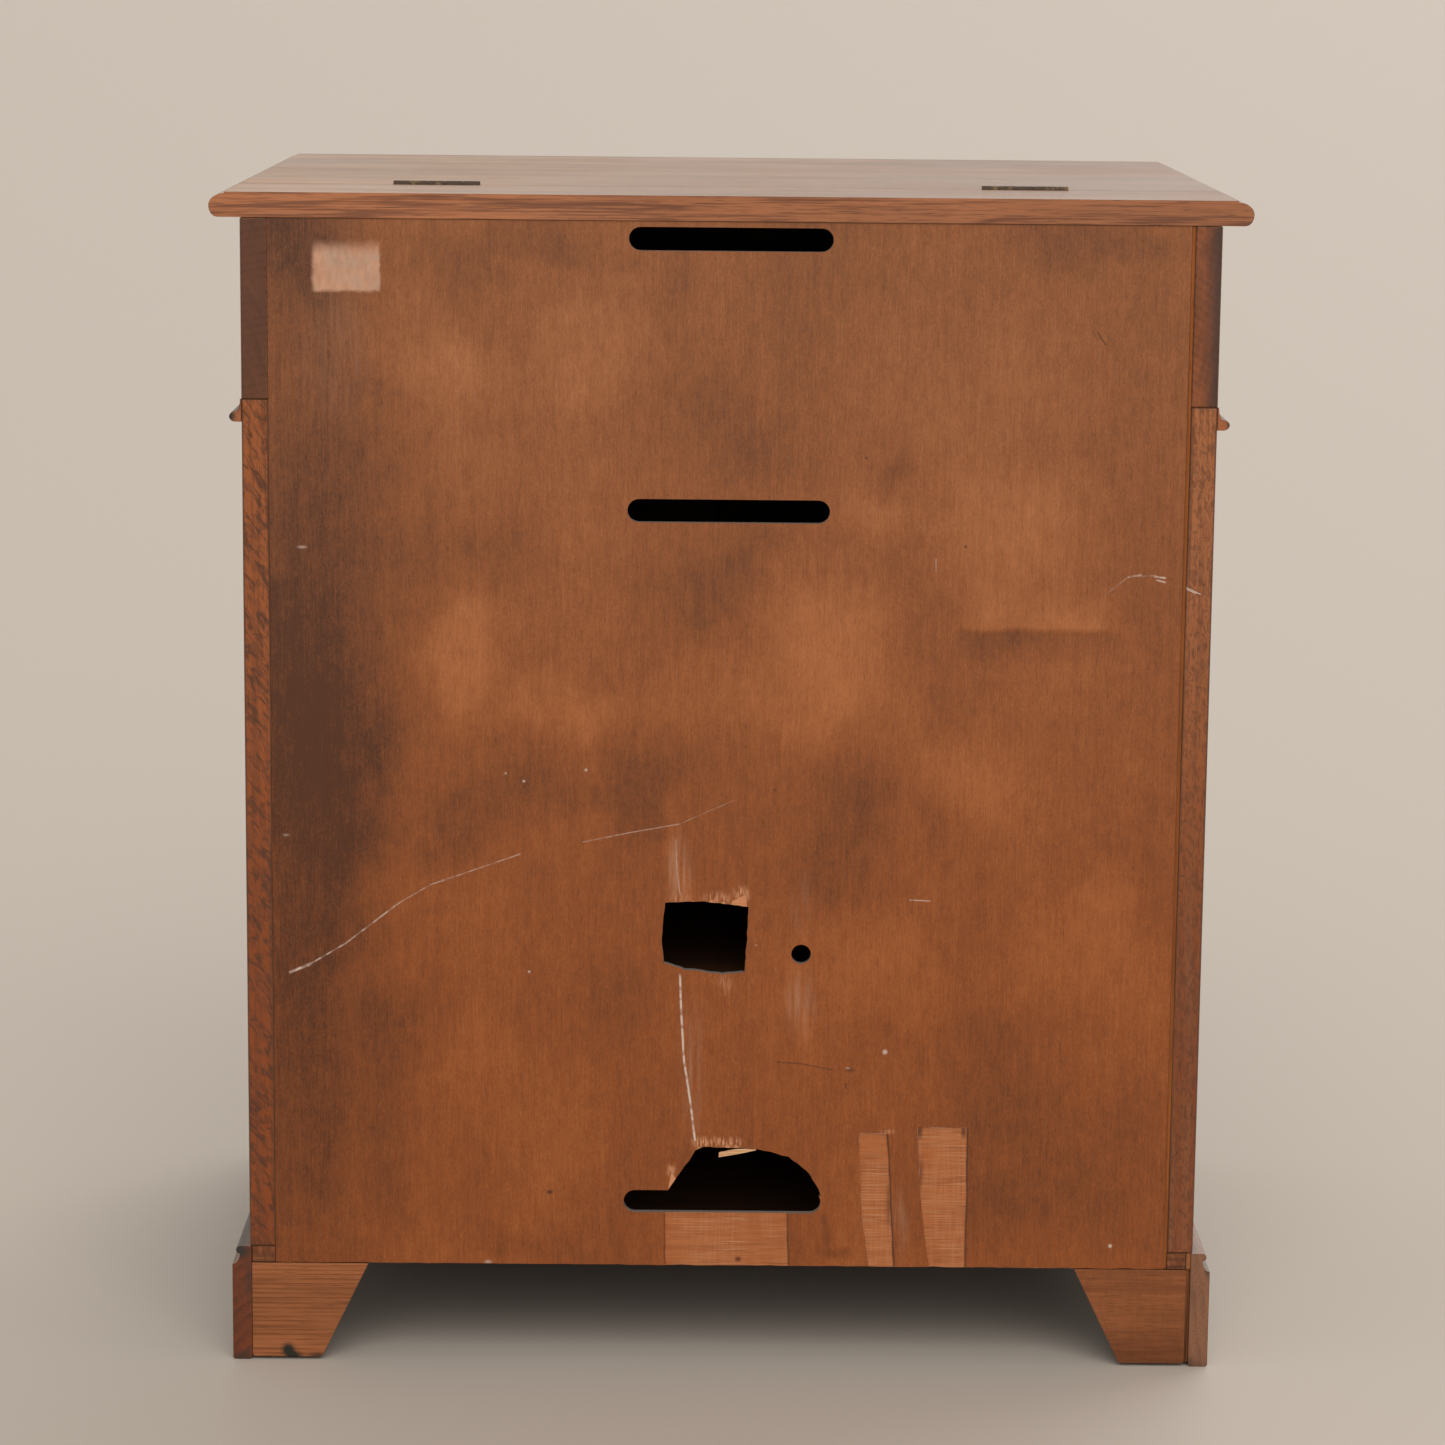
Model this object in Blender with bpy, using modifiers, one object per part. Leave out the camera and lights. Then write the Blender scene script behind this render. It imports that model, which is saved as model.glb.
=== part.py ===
"""Oak lift-top media cabinet in the form of a chest of drawers.

Metres, +Z up. The origin is on the floor under the middle of the cabinet, the front faces -Y and the
back +Y. A lid over a well, two doors that carry dummy drawer fronts, and drop handles all move.
"""

import math

import bmesh
import bpy
from mathutils import Matrix, Vector

# Whole cabinet
WIDTH = 0.790
DEPTH = 0.615
HEIGHT = 0.9186
GAP = 0.0003
ARRIS = 0.0007

# Top: a fixed strip along the back and a hinged lid in front of it
TOP_THICKNESS = 0.019
TOP_OVERHANG = 0.0235
NOSING_WIDTH = 0.012
NOSING_QUIRK = 0.0012
NOSING_DROP = 0.0105
NOSING_FOOT = 0.0065
HINGE_LINE = 0.122
LID_JOINT = 0.0016

# Carcase boards
SIDE_THICKNESS = 0.020
UPPER_CASE_HEIGHT = 0.1379
WAIST_HEIGHT = 0.0172
WAIST_PROJECTION = 0.0095
WAIST_COVE = 0.0048
WAIST_BEAD = 0.0080
WELL_FLOOR_THICKNESS = 0.015
BASE_TOP = 0.0931
BOTTOM_BOARD_THICKNESS = 0.0135
BOTTOM_BOARD_INSET = 0.0015
BOTTOM_BOARD_SHORT = 0.0035

# Framed lower sides
STILE_WIDTH = 0.045
TOP_RAIL_HEIGHT = 0.072
BOTTOM_RAIL_HEIGHT = 0.070
PANEL_TONGUE = 0.008
PANEL_TONGUE_DEPTH = 0.008
PANEL_FIELD_RISE = 0.0045
PANEL_FIELD_BEVEL = 0.032
PANEL_SETBACK = 0.006

# Shelf, housed in grooves in the stiles
SHELF_TOP = 0.305
SHELF_THICKNESS = 0.015
SHELF_HOUSING = 0.005
SHELF_BEHIND_DOOR = 0.001

# Plywood back and the openings sawn in it
BACK_THICKNESS = 0.006
BACK_RECESS = 0.0010
BACK_LOOSE_GAP = 0.0031
BACK_SEAT_WIDTH = 0.009
BACK_SEAT_DEPTH = 0.008
SLOT_LENGTH = 0.155
SLOT_HEIGHT = 0.018
SLOT_BELOW_TOP = 0.0136
SLOT_BELOW_WAIST = 0.0655
SLOT_ABOVE_BASE = 0.0389
ROUND_HOLE = (-0.0597, 0.3322)
ROUND_HOLE_RADIUS = 0.0077
SQUARE_HOLE = (
    (0.0466, 0.3726), (0.0191, 0.3740), (-0.0182, 0.3696), (-0.0157, 0.3177),
    (0.0015, 0.3159), (0.0471, 0.3243), (0.0488, 0.3403),
)
LOWER_CUT = (
    (0.0430, 0.1380), (0.0213, 0.1731), (0.0150, 0.1764), (-0.0274, 0.1752),
    (-0.0518, 0.1689), (-0.0660, 0.1584), (-0.0741, 0.1463), (-0.0777, 0.1374), (-0.0751, 0.1292),
)

# Plinth and bracket feet
PLINTH_THICKNESS = 0.0152
PLINTH_MOULDING = 0.0148
PLINTH_NECK = 0.0060
PLINTH_BEAD_RADIUS = 0.0031
PLINTH_TOE_RADIUS = 0.0022
PLINTH_ARCH = 0.052
PLINTH_FOOT = 0.078
PLINTH_OGEE = 0.045
REAR_FOOT_TOP = 0.092
REAR_FOOT_TOE = 0.055
REAR_FOOT_EASING = 0.0022
REAR_FOOT_THICKNESS = 0.018
REAR_FOOT_LIFT = 0.0025
REAR_FOOT_LOOSE_GAP = 0.0035

# Front: the frieze in front of the well, and the doors under it
FRIEZE_THICKNESS = 0.018
DOOR_THICKNESS = 0.018
DOOR_GAP = 0.002
FACE_MARGIN = 0.010
FACE_SPACING = 0.006
FACE_SLAB = 0.0025
FACE_STEPS = ((0.003, 0.003), (0.007, 0.0), (0.003, -0.003), (0.016, 0.0), (0.005, 0.002))
FACES_PER_DOOR = 3

# Butt hinges
HINGE_LENGTH = 0.068
HINGE_KNUCKLES = 5
KNUCKLE_RADIUS = 0.0030
KNUCKLE_GAP = 0.0004
PIN_RADIUS = 0.0013
PIN_CLEARANCE = 0.00008
LEAF_THICKNESS = 0.0012
LEAF_REACH = 0.0175
LEAF_SPLIT = 0.0002
LID_HINGE_CENTRE = 0.230
DOOR_HINGE_INSET = 0.090
DOOR_HINGE_PROUD = 0.0025

# Quadrant stay that holds the lid open
STAY_ABOVE_FLOOR = 0.0369
STAY_WIDTH = 0.009
STAY_THICKNESS = 0.002
STAY_FROM_SIDE = 0.014
STAY_SWEEP = 107.0
STAY_KNOB_RADIUS = 0.006
STAY_KNOB_LENGTH = 0.006
STAY_FLANGE = (0.014, 0.036, 0.002)
KEEPER_ANGLE = 20.0
KEEPER_THICKNESS = 0.003
KEEPER_RIM = 0.004
KEEPER_CLEARANCE = 0.0006
KEEPER_FLANGE = (0.002, 0.016)

# Drop handles
PLATE_RADIUS = 0.0160
PLATE_THICKNESS = 0.0022
EAR_GAP = 0.0040
EAR_THICKNESS = 0.0014
EAR_RADIUS = 0.0027
PIVOT_OUT = 0.0085
PIVOT_UP = 0.0040
PIVOT_RADIUS = 0.0011
PIVOT_CLEARANCE = 0.0001
EYE_RADIUS = 0.0028
NECK_RADIUS = 0.0016
DROP_LENGTH = 0.042
DROP_RADIUS = 0.0065

# Levels and places worked out from the sizes above
REAR = DEPTH / 2
FRONT = TOP_OVERHANG - DEPTH / 2
HALF = WIDTH / 2 - TOP_OVERHANG
INSIDE = HALF - SIDE_THICKNESS
TOP_UNDER = HEIGHT - TOP_THICKNESS
WAIST_TOP = TOP_UNDER - UPPER_CASE_HEIGHT
WAIST_UNDER = WAIST_TOP - WAIST_HEIGHT
BASE_UNDER = BASE_TOP - BOTTOM_BOARD_THICKNESS
BOARD_HALF = HALF - BOTTOM_BOARD_INSET
BOARD_FRONT = FRONT + BOTTOM_BOARD_INSET
BACK_REAR = REAR - BACK_RECESS
BACK_FRONT = BACK_REAR - BACK_THICKNESS
LID_AXIS = Vector((0.0, REAR - HINGE_LINE, HEIGHT))
DOOR_BACK = FRONT + DOOR_THICKNESS
DOOR_LOW = BASE_TOP + DOOR_GAP
DOOR_HIGH = WAIST_UNDER - DOOR_GAP
DOOR_AXIS_X = INSIDE - DOOR_GAP / 2
DOOR_AXIS_Y = FRONT - DOOR_HINGE_PROUD
FACE_RISE = FACE_SLAB + sum(rise for _, rise in FACE_STEPS)
STAY_RADIUS = HEIGHT - WAIST_TOP - STAY_ABOVE_FLOOR

OAK = ((0.42, 0.20, 0.09, 1.0), 0.45, 0.0)
DARK_OAK = ((0.16, 0.08, 0.04, 1.0), 0.40, 0.0)
RAW_OAK = ((0.52, 0.30, 0.16, 1.0), 0.70, 0.0)
PLYWOOD = ((0.36, 0.17, 0.07, 1.0), 0.55, 0.0)
BRASS = ((0.42, 0.31, 0.13, 1.0), 0.35, 1.0)

for old in list(bpy.data.objects):
    bpy.data.objects.remove(old)

CABINET = bpy.data.collections.new("lift_top_cabinet")
CUTTERS = bpy.data.collections.new("cutters")
for new in (CABINET, CUTTERS):
    bpy.context.scene.collection.children.link(new)

TURNS = {
    "XY": Matrix.Identity(4),
    "XZ": Matrix.Rotation(math.pi / 2, 4, "X"),
    "YZ": Matrix(((0, 0, 1, 0), (1, 0, 0, 0), (0, 1, 0, 0), (0, 0, 0, 1))),
}
EXTRUDED = {"XY": Vector((0, 0, 1)), "XZ": Vector((0, 1, 0)), "YZ": Vector((1, 0, 0))}


# Shared ways of making a solid

def place(name, mesh, finish, location=(0, 0, 0), parent=None):
    """Put a mesh in the cabinet under its name, or among the cutters when it has no finish."""
    piece = bpy.data.objects.new(name, mesh)
    piece.location = location
    if finish is None:
        CUTTERS.objects.link(piece)
        piece.hide_render = True
        piece.display_type = "WIRE"
        return piece
    CABINET.objects.link(piece)
    colour, roughness, metallic = finish
    material = bpy.data.materials.new(name)
    material.use_nodes = True
    shader = material.node_tree.nodes["Principled BSDF"]
    shader.inputs["Base Color"].default_value = colour
    shader.inputs["Roughness"].default_value = roughness
    shader.inputs["Metallic"].default_value = metallic
    piece.data.materials.clear()
    piece.data.materials.append(material)
    if parent is not None:
        piece.parent = parent
        piece.location = Vector(location) - parent.location
    return piece


def pivot(name, location):
    """An empty on a joint's axis that carries what turns with it."""
    empty = bpy.data.objects.new(name, None)
    empty.location = location
    CABINET.objects.link(empty)
    return empty


def box_mesh(size):
    mesh = bpy.data.meshes.new("box")
    shape = bmesh.new()
    bmesh.ops.create_cube(shape, size=1.0, matrix=Matrix.Diagonal((*size, 1.0)))
    shape.to_mesh(mesh)
    shape.free()
    return mesh


def board(name, low, high, finish, arris=ARRIS, parent=None):
    """A squared board between two corners, with its arrises taken off."""
    low, high = Vector(low), Vector(high)
    piece = place(name, box_mesh(high - low), finish, (low + high) / 2, parent)
    if arris and finish is not None:
        edge = piece.modifiers.new("arris", "BEVEL")
        edge.width = arris
        edge.segments = 1
        edge.limit_method = "NONE"
    return piece


def outline_mesh(points, thickness, plane):
    """A flat outline, filled and extruded evenly to both sides of its plane."""
    curve = bpy.data.curves.new("outline", "CURVE")
    curve.dimensions = "2D"
    curve.fill_mode = "BOTH"
    curve.extrude = thickness / 2
    spline = curve.splines.new("POLY")
    spline.points.add(len(points) - 1)
    for point, (across, up) in zip(spline.points, points):
        point.co = (across, up, 0.0, 1.0)
    spline.use_cyclic_u = True
    guide = bpy.data.objects.new("outline", curve)
    bpy.context.scene.collection.objects.link(guide)
    mesh = evaluated_mesh(guide)
    bpy.data.objects.remove(guide)
    shape = bmesh.new()
    shape.from_mesh(mesh)
    bmesh.ops.remove_doubles(shape, verts=shape.verts, dist=0.00001)
    bmesh.ops.recalc_face_normals(shape, faces=shape.faces)
    shape.to_mesh(mesh)
    shape.free()
    mesh.transform(TURNS[plane])
    return mesh


def evaluated_mesh(piece):
    bpy.context.view_layer.update()
    depsgraph = bpy.context.evaluated_depsgraph_get()
    return bpy.data.meshes.new_from_object(piece.evaluated_get(depsgraph))


def prism(name, points, plane, low, high, finish, parent=None):
    """An outline in the XY, XZ or YZ plane, run from low to high along the third axis."""
    mesh = outline_mesh(points, high - low, plane)
    return place(name, mesh, finish, EXTRUDED[plane] * (low + high) / 2, parent)


def rod(name, radius, length, axis, finish, location=(0, 0, 0), sides=16):
    mesh = bpy.data.meshes.new("rod")
    shape = bmesh.new()
    turn = Vector((0, 0, 1)).rotation_difference(Vector(axis)).to_matrix().to_4x4()
    bmesh.ops.create_cone(
        shape, cap_ends=True, segments=sides, radius1=radius, radius2=radius, depth=length, matrix=turn
    )
    shape.to_mesh(mesh)
    shape.free()
    return place(name, mesh, finish, location)


def turned(name, profile, finish, sides=16):
    """A profile of (radius, height) points, top to bottom, turned about Z."""
    mesh = bpy.data.meshes.new("profile")
    mesh.from_pydata([(radius, 0.0, height) for radius, height in profile],
                     [(i, i + 1) for i in range(len(profile) - 1)], [])
    piece = place(name, mesh, finish)
    screw = piece.modifiers.new("turn", "SCREW")
    screw.steps = sides
    screw.render_steps = sides
    screw.use_merge_vertices = True
    screw.merge_threshold = 0.00001
    return piece


def boolean(piece, tool, operation="DIFFERENCE"):
    cut = piece.modifiers.new(tool.name, "BOOLEAN")
    cut.operation = operation
    cut.object = tool
    return piece


def baked(piece):
    """The mesh that a piece has with its modifiers, for copies to share; the piece and its tools go."""
    mesh = evaluated_mesh(piece)
    tools = [cut.object for cut in piece.modifiers if cut.type == "BOOLEAN"]
    for used in (piece, *tools):
        bpy.data.objects.remove(used)
    return mesh


def smooth(mesh, angle=40.0):
    mesh.shade_smooth()
    mesh.set_sharp_from_angle(angle=math.radians(angle))
    return mesh


def arc(centre, radii, start, end, steps):
    """Points along an elliptical arc, angles in degrees."""
    turns = [math.radians(start + (end - start) * i / steps) for i in range(steps + 1)]
    return [(centre[0] + radii[0] * math.cos(t), centre[1] + radii[1] * math.sin(t)) for t in turns]


def mirrored(points):
    """An outline's points on the other side of its upright axis, in reverse."""
    return [(-across, up) for across, up in reversed(points)]


# The top: section with a thumbnail nosing

def nosing(edge):
    """Outline points from the top surface, round the nosing at edge, to the underside."""
    arris_at = edge - NOSING_WIDTH
    nose = HEIGHT - NOSING_DROP
    upper = arc((arris_at, nose), (NOSING_WIDTH, NOSING_DROP - NOSING_QUIRK), 90, 0, 6)
    lower = arc((edge - NOSING_FOOT, nose), (NOSING_FOOT, nose - TOP_UNDER), 0, -90, 4)
    return [(arris_at, HEIGHT), *upper, *lower[1:]]


def make_top():
    half = WIDTH / 2
    section = [*nosing(half), *mirrored(nosing(half))]
    strip_front = LID_AXIS.y + LID_JOINT / 2
    lid_rear = LID_AXIS.y - LID_JOINT / 2
    strip = prism("top_rear_strip", section, "XZ", strip_front, REAR, OAK)
    lid = prism("lid", section, "XZ", -DEPTH / 2 - ARRIS, lid_rear, OAK, lid_pivot)
    front_profile = [*mirrored(nosing(DEPTH / 2)), (REAR, HEIGHT), (REAR, TOP_UNDER)]
    boolean(lid, prism("lid_front_profile", front_profile, "YZ", -WIDTH, WIDTH, None), "INTERSECT")
    for side, across in (("left", -LID_HINGE_CENTRE), ("right", LID_HINGE_CENTRE)):
        place_hinge(f"lid_hinge_{side}", Matrix.Translation(LID_AXIS + Vector((across, 0, 0))),
                    strip, lid, lid_pivot)


# Butt hinges: local X along the pin, Y towards the fixed side, Z out of the surface

def leaf_mesh(fixed):
    """One leaf with its knuckles; the fixed leaf also carries the pin."""
    pitch = HINGE_LENGTH / HINGE_KNUCKLES
    inner = LEAF_SPLIT if fixed else -LEAF_SPLIT - LEAF_THICKNESS
    outer = inner + LEAF_THICKNESS
    shoulder = KNUCKLE_RADIUS + KNUCKLE_GAP
    half = HINGE_LENGTH / 2
    leaf = board("leaf", (-half, inner, -LEAF_REACH), (half, outer, -shoulder), BRASS, 0)
    for i in range(0 if fixed else 1, HINGE_KNUCKLES, 2):
        middle = (i + 0.5) * pitch - half
        length = pitch - KNUCKLE_GAP
        tab = board("tab", (middle - length / 2, inner, -shoulder - LEAF_THICKNESS),
                    (middle + length / 2, outer, -KNUCKLE_RADIUS / 2), None)
        boolean(leaf, tab, "UNION")
        boolean(leaf, rod("knuckle", KNUCKLE_RADIUS, length, (1, 0, 0), None, (middle, 0, 0)), "UNION")
    if fixed:
        pin = rod("pin", PIN_RADIUS, HINGE_LENGTH - KNUCKLE_GAP, (1, 0, 0), None, sides=12)
        boolean(leaf, pin, "UNION")
    else:
        bore = rod("bore", PIN_RADIUS + PIN_CLEARANCE, HINGE_LENGTH * 2, (1, 0, 0), None)
        boolean(leaf, bore)
    return smooth(baked_in_world(leaf))


def baked_in_world(piece):
    """A baked mesh with its piece's location taken into its points."""
    bpy.context.view_layer.update()
    matrix = piece.matrix_world.copy()
    mesh = baked(piece)
    mesh.transform(matrix)
    return mesh


def place_hinge(name, frame, fixed_to, moves_with, parent):
    """Both leaves of a hinge at a frame, and the pockets for them in the two boards."""
    for ending, mesh in (("fixed_leaf", FIXED_LEAF), ("moving_leaf", MOVING_LEAF)):
        carrier = parent if ending == "moving_leaf" else None
        leaf = place(f"{name}_{ending}", mesh.copy(), BRASS, frame.translation, carrier)
        leaf.rotation_euler = frame.to_euler()
    reach = LEAF_SPLIT + LEAF_THICKNESS + GAP
    pocket = board(f"{name}_pocket", (-HINGE_LENGTH / 2 - GAP, -reach, -LEAF_REACH - GAP),
                   (HINGE_LENGTH / 2 + GAP, reach, KNUCKLE_RADIUS), None)
    pocket.data.transform(Matrix.Translation(pocket.location))
    pocket.location = frame.translation
    pocket.rotation_euler = frame.to_euler()
    round_pocket = rod(f"{name}_knuckle_pocket", KNUCKLE_RADIUS + KNUCKLE_GAP, HINGE_LENGTH + 2 * GAP,
                       (1, 0, 0), None, frame.translation)
    round_pocket.rotation_euler = frame.to_euler()
    for wood in (fixed_to, moves_with):
        boolean(wood, pocket)
        boolean(wood, round_pocket)


# Carcase

def back_seat(name, sign, low, high, room=0.0):
    """The lip inside a side's rear edge that the back panel is pinned against, or the room for it."""
    rear = BACK_FRONT - GAP
    near, far = sorted((sign * (INSIDE - BACK_SEAT_WIDTH - room), sign * (INSIDE + 2 * ARRIS)))
    return board(name, (near, rear - BACK_SEAT_DEPTH - room, low), (far, rear + room, high), None)


def make_upper_case():
    edge = INSIDE - GAP
    well_floor = board("well_floor", (-edge, FRONT + SIDE_THICKNESS + GAP, WAIST_TOP - WELL_FLOOR_THICKNESS),
                       (edge, BACK_FRONT - GAP, WAIST_TOP), RAW_OAK)
    for side, sign in (("left", -1), ("right", 1)):
        near, far = sorted((sign * INSIDE, sign * HALF))
        low, high = WAIST_TOP + GAP, TOP_UNDER - GAP
        wall = board(f"upper_side_{side}", (near, FRONT, low), (far, REAR, high), DARK_OAK)
        boolean(wall, back_seat(f"upper_seat_{side}", sign, low + ARRIS, high - ARRIS), "UNION")
        boolean(well_floor, back_seat(f"well_notch_{side}", sign, 0, HEIGHT, GAP))
    frieze = board("frieze_front", (-edge, FRONT, WAIST_UNDER),
                   (edge, FRONT + FRIEZE_THICKNESS, TOP_UNDER - GAP), DARK_OAK)
    low = WAIST_TOP + FACE_MARGIN
    high = TOP_UNDER - FACE_MARGIN
    for side, sign in (("left", -1), ("right", 1)):
        near, far = sorted((sign * FACE_SPACING / 2, sign * (INSIDE - FACE_MARGIN)))
        boolean(frieze, drawer_face(f"frieze_face_{side}", near, far, low, high), "UNION")
        make_handle(f"frieze_{side}", (near + far) / 2, (low + high) / 2, None)


def waist_section(face, sign):
    """Cavetto over a bead: outline points of the waist moulding, planted on a face."""
    inner = face + GAP
    bead_back = face + WAIST_COVE
    bead_middle = (bead_back, WAIST_UNDER + WAIST_BEAD / 2)
    neck = WAIST_UNDER + WAIST_BEAD
    cavetto = arc((bead_back, WAIST_TOP), (bead_back - inner - ARRIS, WAIST_TOP - neck), 180, 270, 5)
    bead = arc(bead_middle, (WAIST_PROJECTION - WAIST_COVE, WAIST_BEAD / 2), 90, -90, 8)
    points = [(inner, WAIST_TOP), *cavetto, *bead[1:], (inner, WAIST_UNDER)]
    return points if sign > 0 else mirrored(points)


def mitre_plan(inner_x, inner_y, reach, sign):
    """Plan of a side member whose front end is mitred at 45 degrees, clear of the front one."""
    clear = inner_y + 2 * GAP
    points = [(inner_x, clear), (inner_x + reach, clear - reach), (inner_x + reach, REAR), (inner_x, REAR)]
    return points if sign > 0 else mirrored(points)


def make_waist():
    """Mitred moulding planted round the sides and front, under the upper case."""
    reach = 2 * WAIST_PROJECTION
    inner_x, inner_y = HALF + GAP, FRONT - GAP
    for side, sign in (("left", -1), ("right", 1)):
        moulding = prism(f"waist_moulding_{side}", waist_section(HALF, sign), "XZ", FRONT - reach, REAR, OAK)
        plan = mitre_plan(inner_x, inner_y, reach, sign)
        boolean(moulding, prism(f"waist_plan_{side}", plan, "XY", 0, HEIGHT, None), "INTERSECT")
    front_section = [(-across, up) for across, up in waist_section(-FRONT, 1)]
    wide = inner_x + reach
    front = prism("waist_moulding_front", front_section, "YZ", -wide, wide, OAK)
    plan = [(-inner_x, inner_y), (-wide, inner_y - reach), (wide, inner_y - reach), (inner_x, inner_y)]
    boolean(front, prism("waist_plan_front", plan, "XY", 0, HEIGHT, None), "INTERSECT")


def make_sides():
    """Stiles, rails and a fielded panel on each side, between the bottom board and the waist."""
    low, high = BASE_TOP + GAP, WAIST_TOP
    stiles = []
    for side, sign in (("left", -1), ("right", 1)):
        near, far = sorted((sign * INSIDE, sign * HALF))
        spans = {"front": (FRONT, FRONT + STILE_WIDTH), "rear": (REAR - STILE_WIDTH, REAR)}
        frame = [board(f"{end}_stile_{side}", (near, span[0], low), (far, span[1], high), OAK)
                 for end, span in spans.items()]
        boolean(frame[-1], back_seat(f"rear_seat_{side}", sign, low + ARRIS, high - ARRIS), "UNION")
        stiles += frame
        rail_span = (FRONT + STILE_WIDTH + GAP, REAR - STILE_WIDTH - GAP)
        rails = {"bottom": (low, low + BOTTOM_RAIL_HEIGHT), "top": (high - TOP_RAIL_HEIGHT, high)}
        for level, span in rails.items():
            corners = (near, rail_span[0], span[0]), (far, rail_span[1], span[1])
            frame.append(board(f"side_{level}_rail_{side}", *corners, OAK))
        panel_y = (rail_span[0] - PANEL_TONGUE_DEPTH, rail_span[1] + PANEL_TONGUE_DEPTH)
        panel_z = (rails["bottom"][1] - PANEL_TONGUE_DEPTH, rails["top"][0] + PANEL_TONGUE_DEPTH)
        make_side_panel(side, sign, panel_y, panel_z)
        tongue = INSIDE + PANEL_SETBACK
        groove_near, groove_far = sorted((sign * (tongue - GAP), sign * (tongue + PANEL_TONGUE + GAP)))
        groove = board(f"panel_groove_{side}", (groove_near, panel_y[0] - GAP, panel_z[0] - GAP),
                       (groove_far, panel_y[1] + GAP, panel_z[1] + GAP), None)
        for member in frame:
            boolean(member, groove)
    make_shelf(stiles)
    return stiles


def make_side_panel(side, sign, span_y, span_z):
    inner, outer = sign * (INSIDE + PANEL_SETBACK), sign * (INSIDE + PANEL_SETBACK + PANEL_TONGUE)
    near, far = sorted((inner, outer))
    panel = board(f"side_panel_{side}", (near, span_y[0], span_z[0]), (far, span_y[1], span_z[1]), OAK, 0)
    shape = bmesh.new()
    shape.from_mesh(panel.data)
    face = max(shape.faces, key=lambda f: sign * f.calc_center_median().x)
    clear = PANEL_TONGUE_DEPTH + 2 * GAP
    for inset, rise in ((clear, 0.0), (PANEL_FIELD_BEVEL, PANEL_FIELD_RISE)):
        bmesh.ops.inset_region(shape, faces=[face], thickness=inset, depth=rise, use_even_offset=True)
    shape.to_mesh(panel.data)
    shape.free()


def make_shelf(stiles):
    edge = INSIDE + SHELF_HOUSING
    front = DOOR_BACK + SHELF_BEHIND_DOOR
    rear = BACK_FRONT - GAP
    board("shelf", (-edge, front, SHELF_TOP - SHELF_THICKNESS), (edge, rear, SHELF_TOP), RAW_OAK)
    housing = board("shelf_housing", (-edge - GAP, front - GAP, SHELF_TOP - SHELF_THICKNESS - GAP),
                    (edge + GAP, BACK_FRONT, SHELF_TOP + GAP), None)
    for stile in stiles:
        boolean(stile, housing)


def make_back():
    """Plywood back between the rear edges of the sides, with its cable openings."""
    panel = board("back_panel", (BACK_LOOSE_GAP - INSIDE, BACK_FRONT, BASE_UNDER),
                  (INSIDE - GAP, BACK_REAR, TOP_UNDER - GAP), PLYWOOD, 0)
    depth = (BACK_FRONT - BACK_THICKNESS, REAR + BACK_THICKNESS)
    half_run = (SLOT_LENGTH - SLOT_HEIGHT) / 2
    end_radii = (SLOT_HEIGHT / 2, SLOT_HEIGHT / 2)
    levels = {"well": TOP_UNDER - SLOT_BELOW_TOP, "upper": WAIST_UNDER - SLOT_BELOW_WAIST,
              "lower": BASE_TOP + SLOT_ABOVE_BASE}
    for name, level in levels.items():
        right_end = arc((half_run, level), end_radii, -90, 90, 8)
        left_end = arc((-half_run, level), end_radii, 90, 270, 8)
        boolean(panel, prism(f"{name}_slot", [*right_end, *left_end], "XZ", *depth, None))
    boolean(panel, prism("square_hole", SQUARE_HOLE, "XZ", *depth, None))
    boolean(panel, prism("lower_cut", LOWER_CUT, "XZ", *depth, None))
    middle = (ROUND_HOLE[0], REAR, ROUND_HOLE[1])
    boolean(panel, rod("round_hole", ROUND_HOLE_RADIUS, 4 * BACK_THICKNESS, (0, 1, 0), None, middle))


# Base

def make_base():
    bottom = board("bottom_board", (BOTTOM_BOARD_SHORT - BOARD_HALF, BOARD_FRONT, BASE_UNDER),
                   (BOARD_HALF, REAR, BASE_TOP), OAK)
    rebate = board("back_rebate", (-INSIDE, BACK_FRONT - GAP, 0), (INSIDE, REAR + GAP, HEIGHT), None)
    boolean(bottom, rebate)
    inner_x, inner_y = BOARD_HALF + GAP, BOARD_FRONT - GAP
    reach = 2 * PLINTH_THICKNESS
    outer_y = inner_y - PLINTH_THICKNESS
    for side, sign in (("left", -1), ("right", 1)):
        section = plinth_section(inner_x)
        section = section if sign > 0 else mirrored(section)
        plinth = prism(f"plinth_{side}", section, "XZ", inner_y - reach, REAR, DARK_OAK)
        arch = prism(f"plinth_arch_{side}", arch_outline(outer_y, REAR), "YZ", -WIDTH, WIDTH, None)
        boolean(plinth, arch)
        plan = mitre_plan(inner_x, inner_y, reach, sign)
        boolean(plinth, prism(f"plinth_plan_{side}", plan, "XY", -GAP, BASE_TOP, None), "INTERSECT")
        make_rear_foot(side, sign, inner_x)
    front_section = [(-across, up) for across, up in plinth_section(-inner_y)]
    wide = inner_x + reach
    front = prism("plinth_front", front_section, "YZ", -wide, wide, DARK_OAK)
    outer_x = inner_x + PLINTH_THICKNESS
    boolean(front, prism("plinth_arch_front", arch_outline(-outer_x, outer_x), "XZ", -DEPTH, 0, None))
    plan = [(-inner_x, inner_y), (-wide, inner_y - reach), (wide, inner_y - reach), (inner_x, inner_y)]
    boolean(front, prism("plinth_plan_front", plan, "XY", -GAP, BASE_TOP, None), "INTERSECT")


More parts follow.
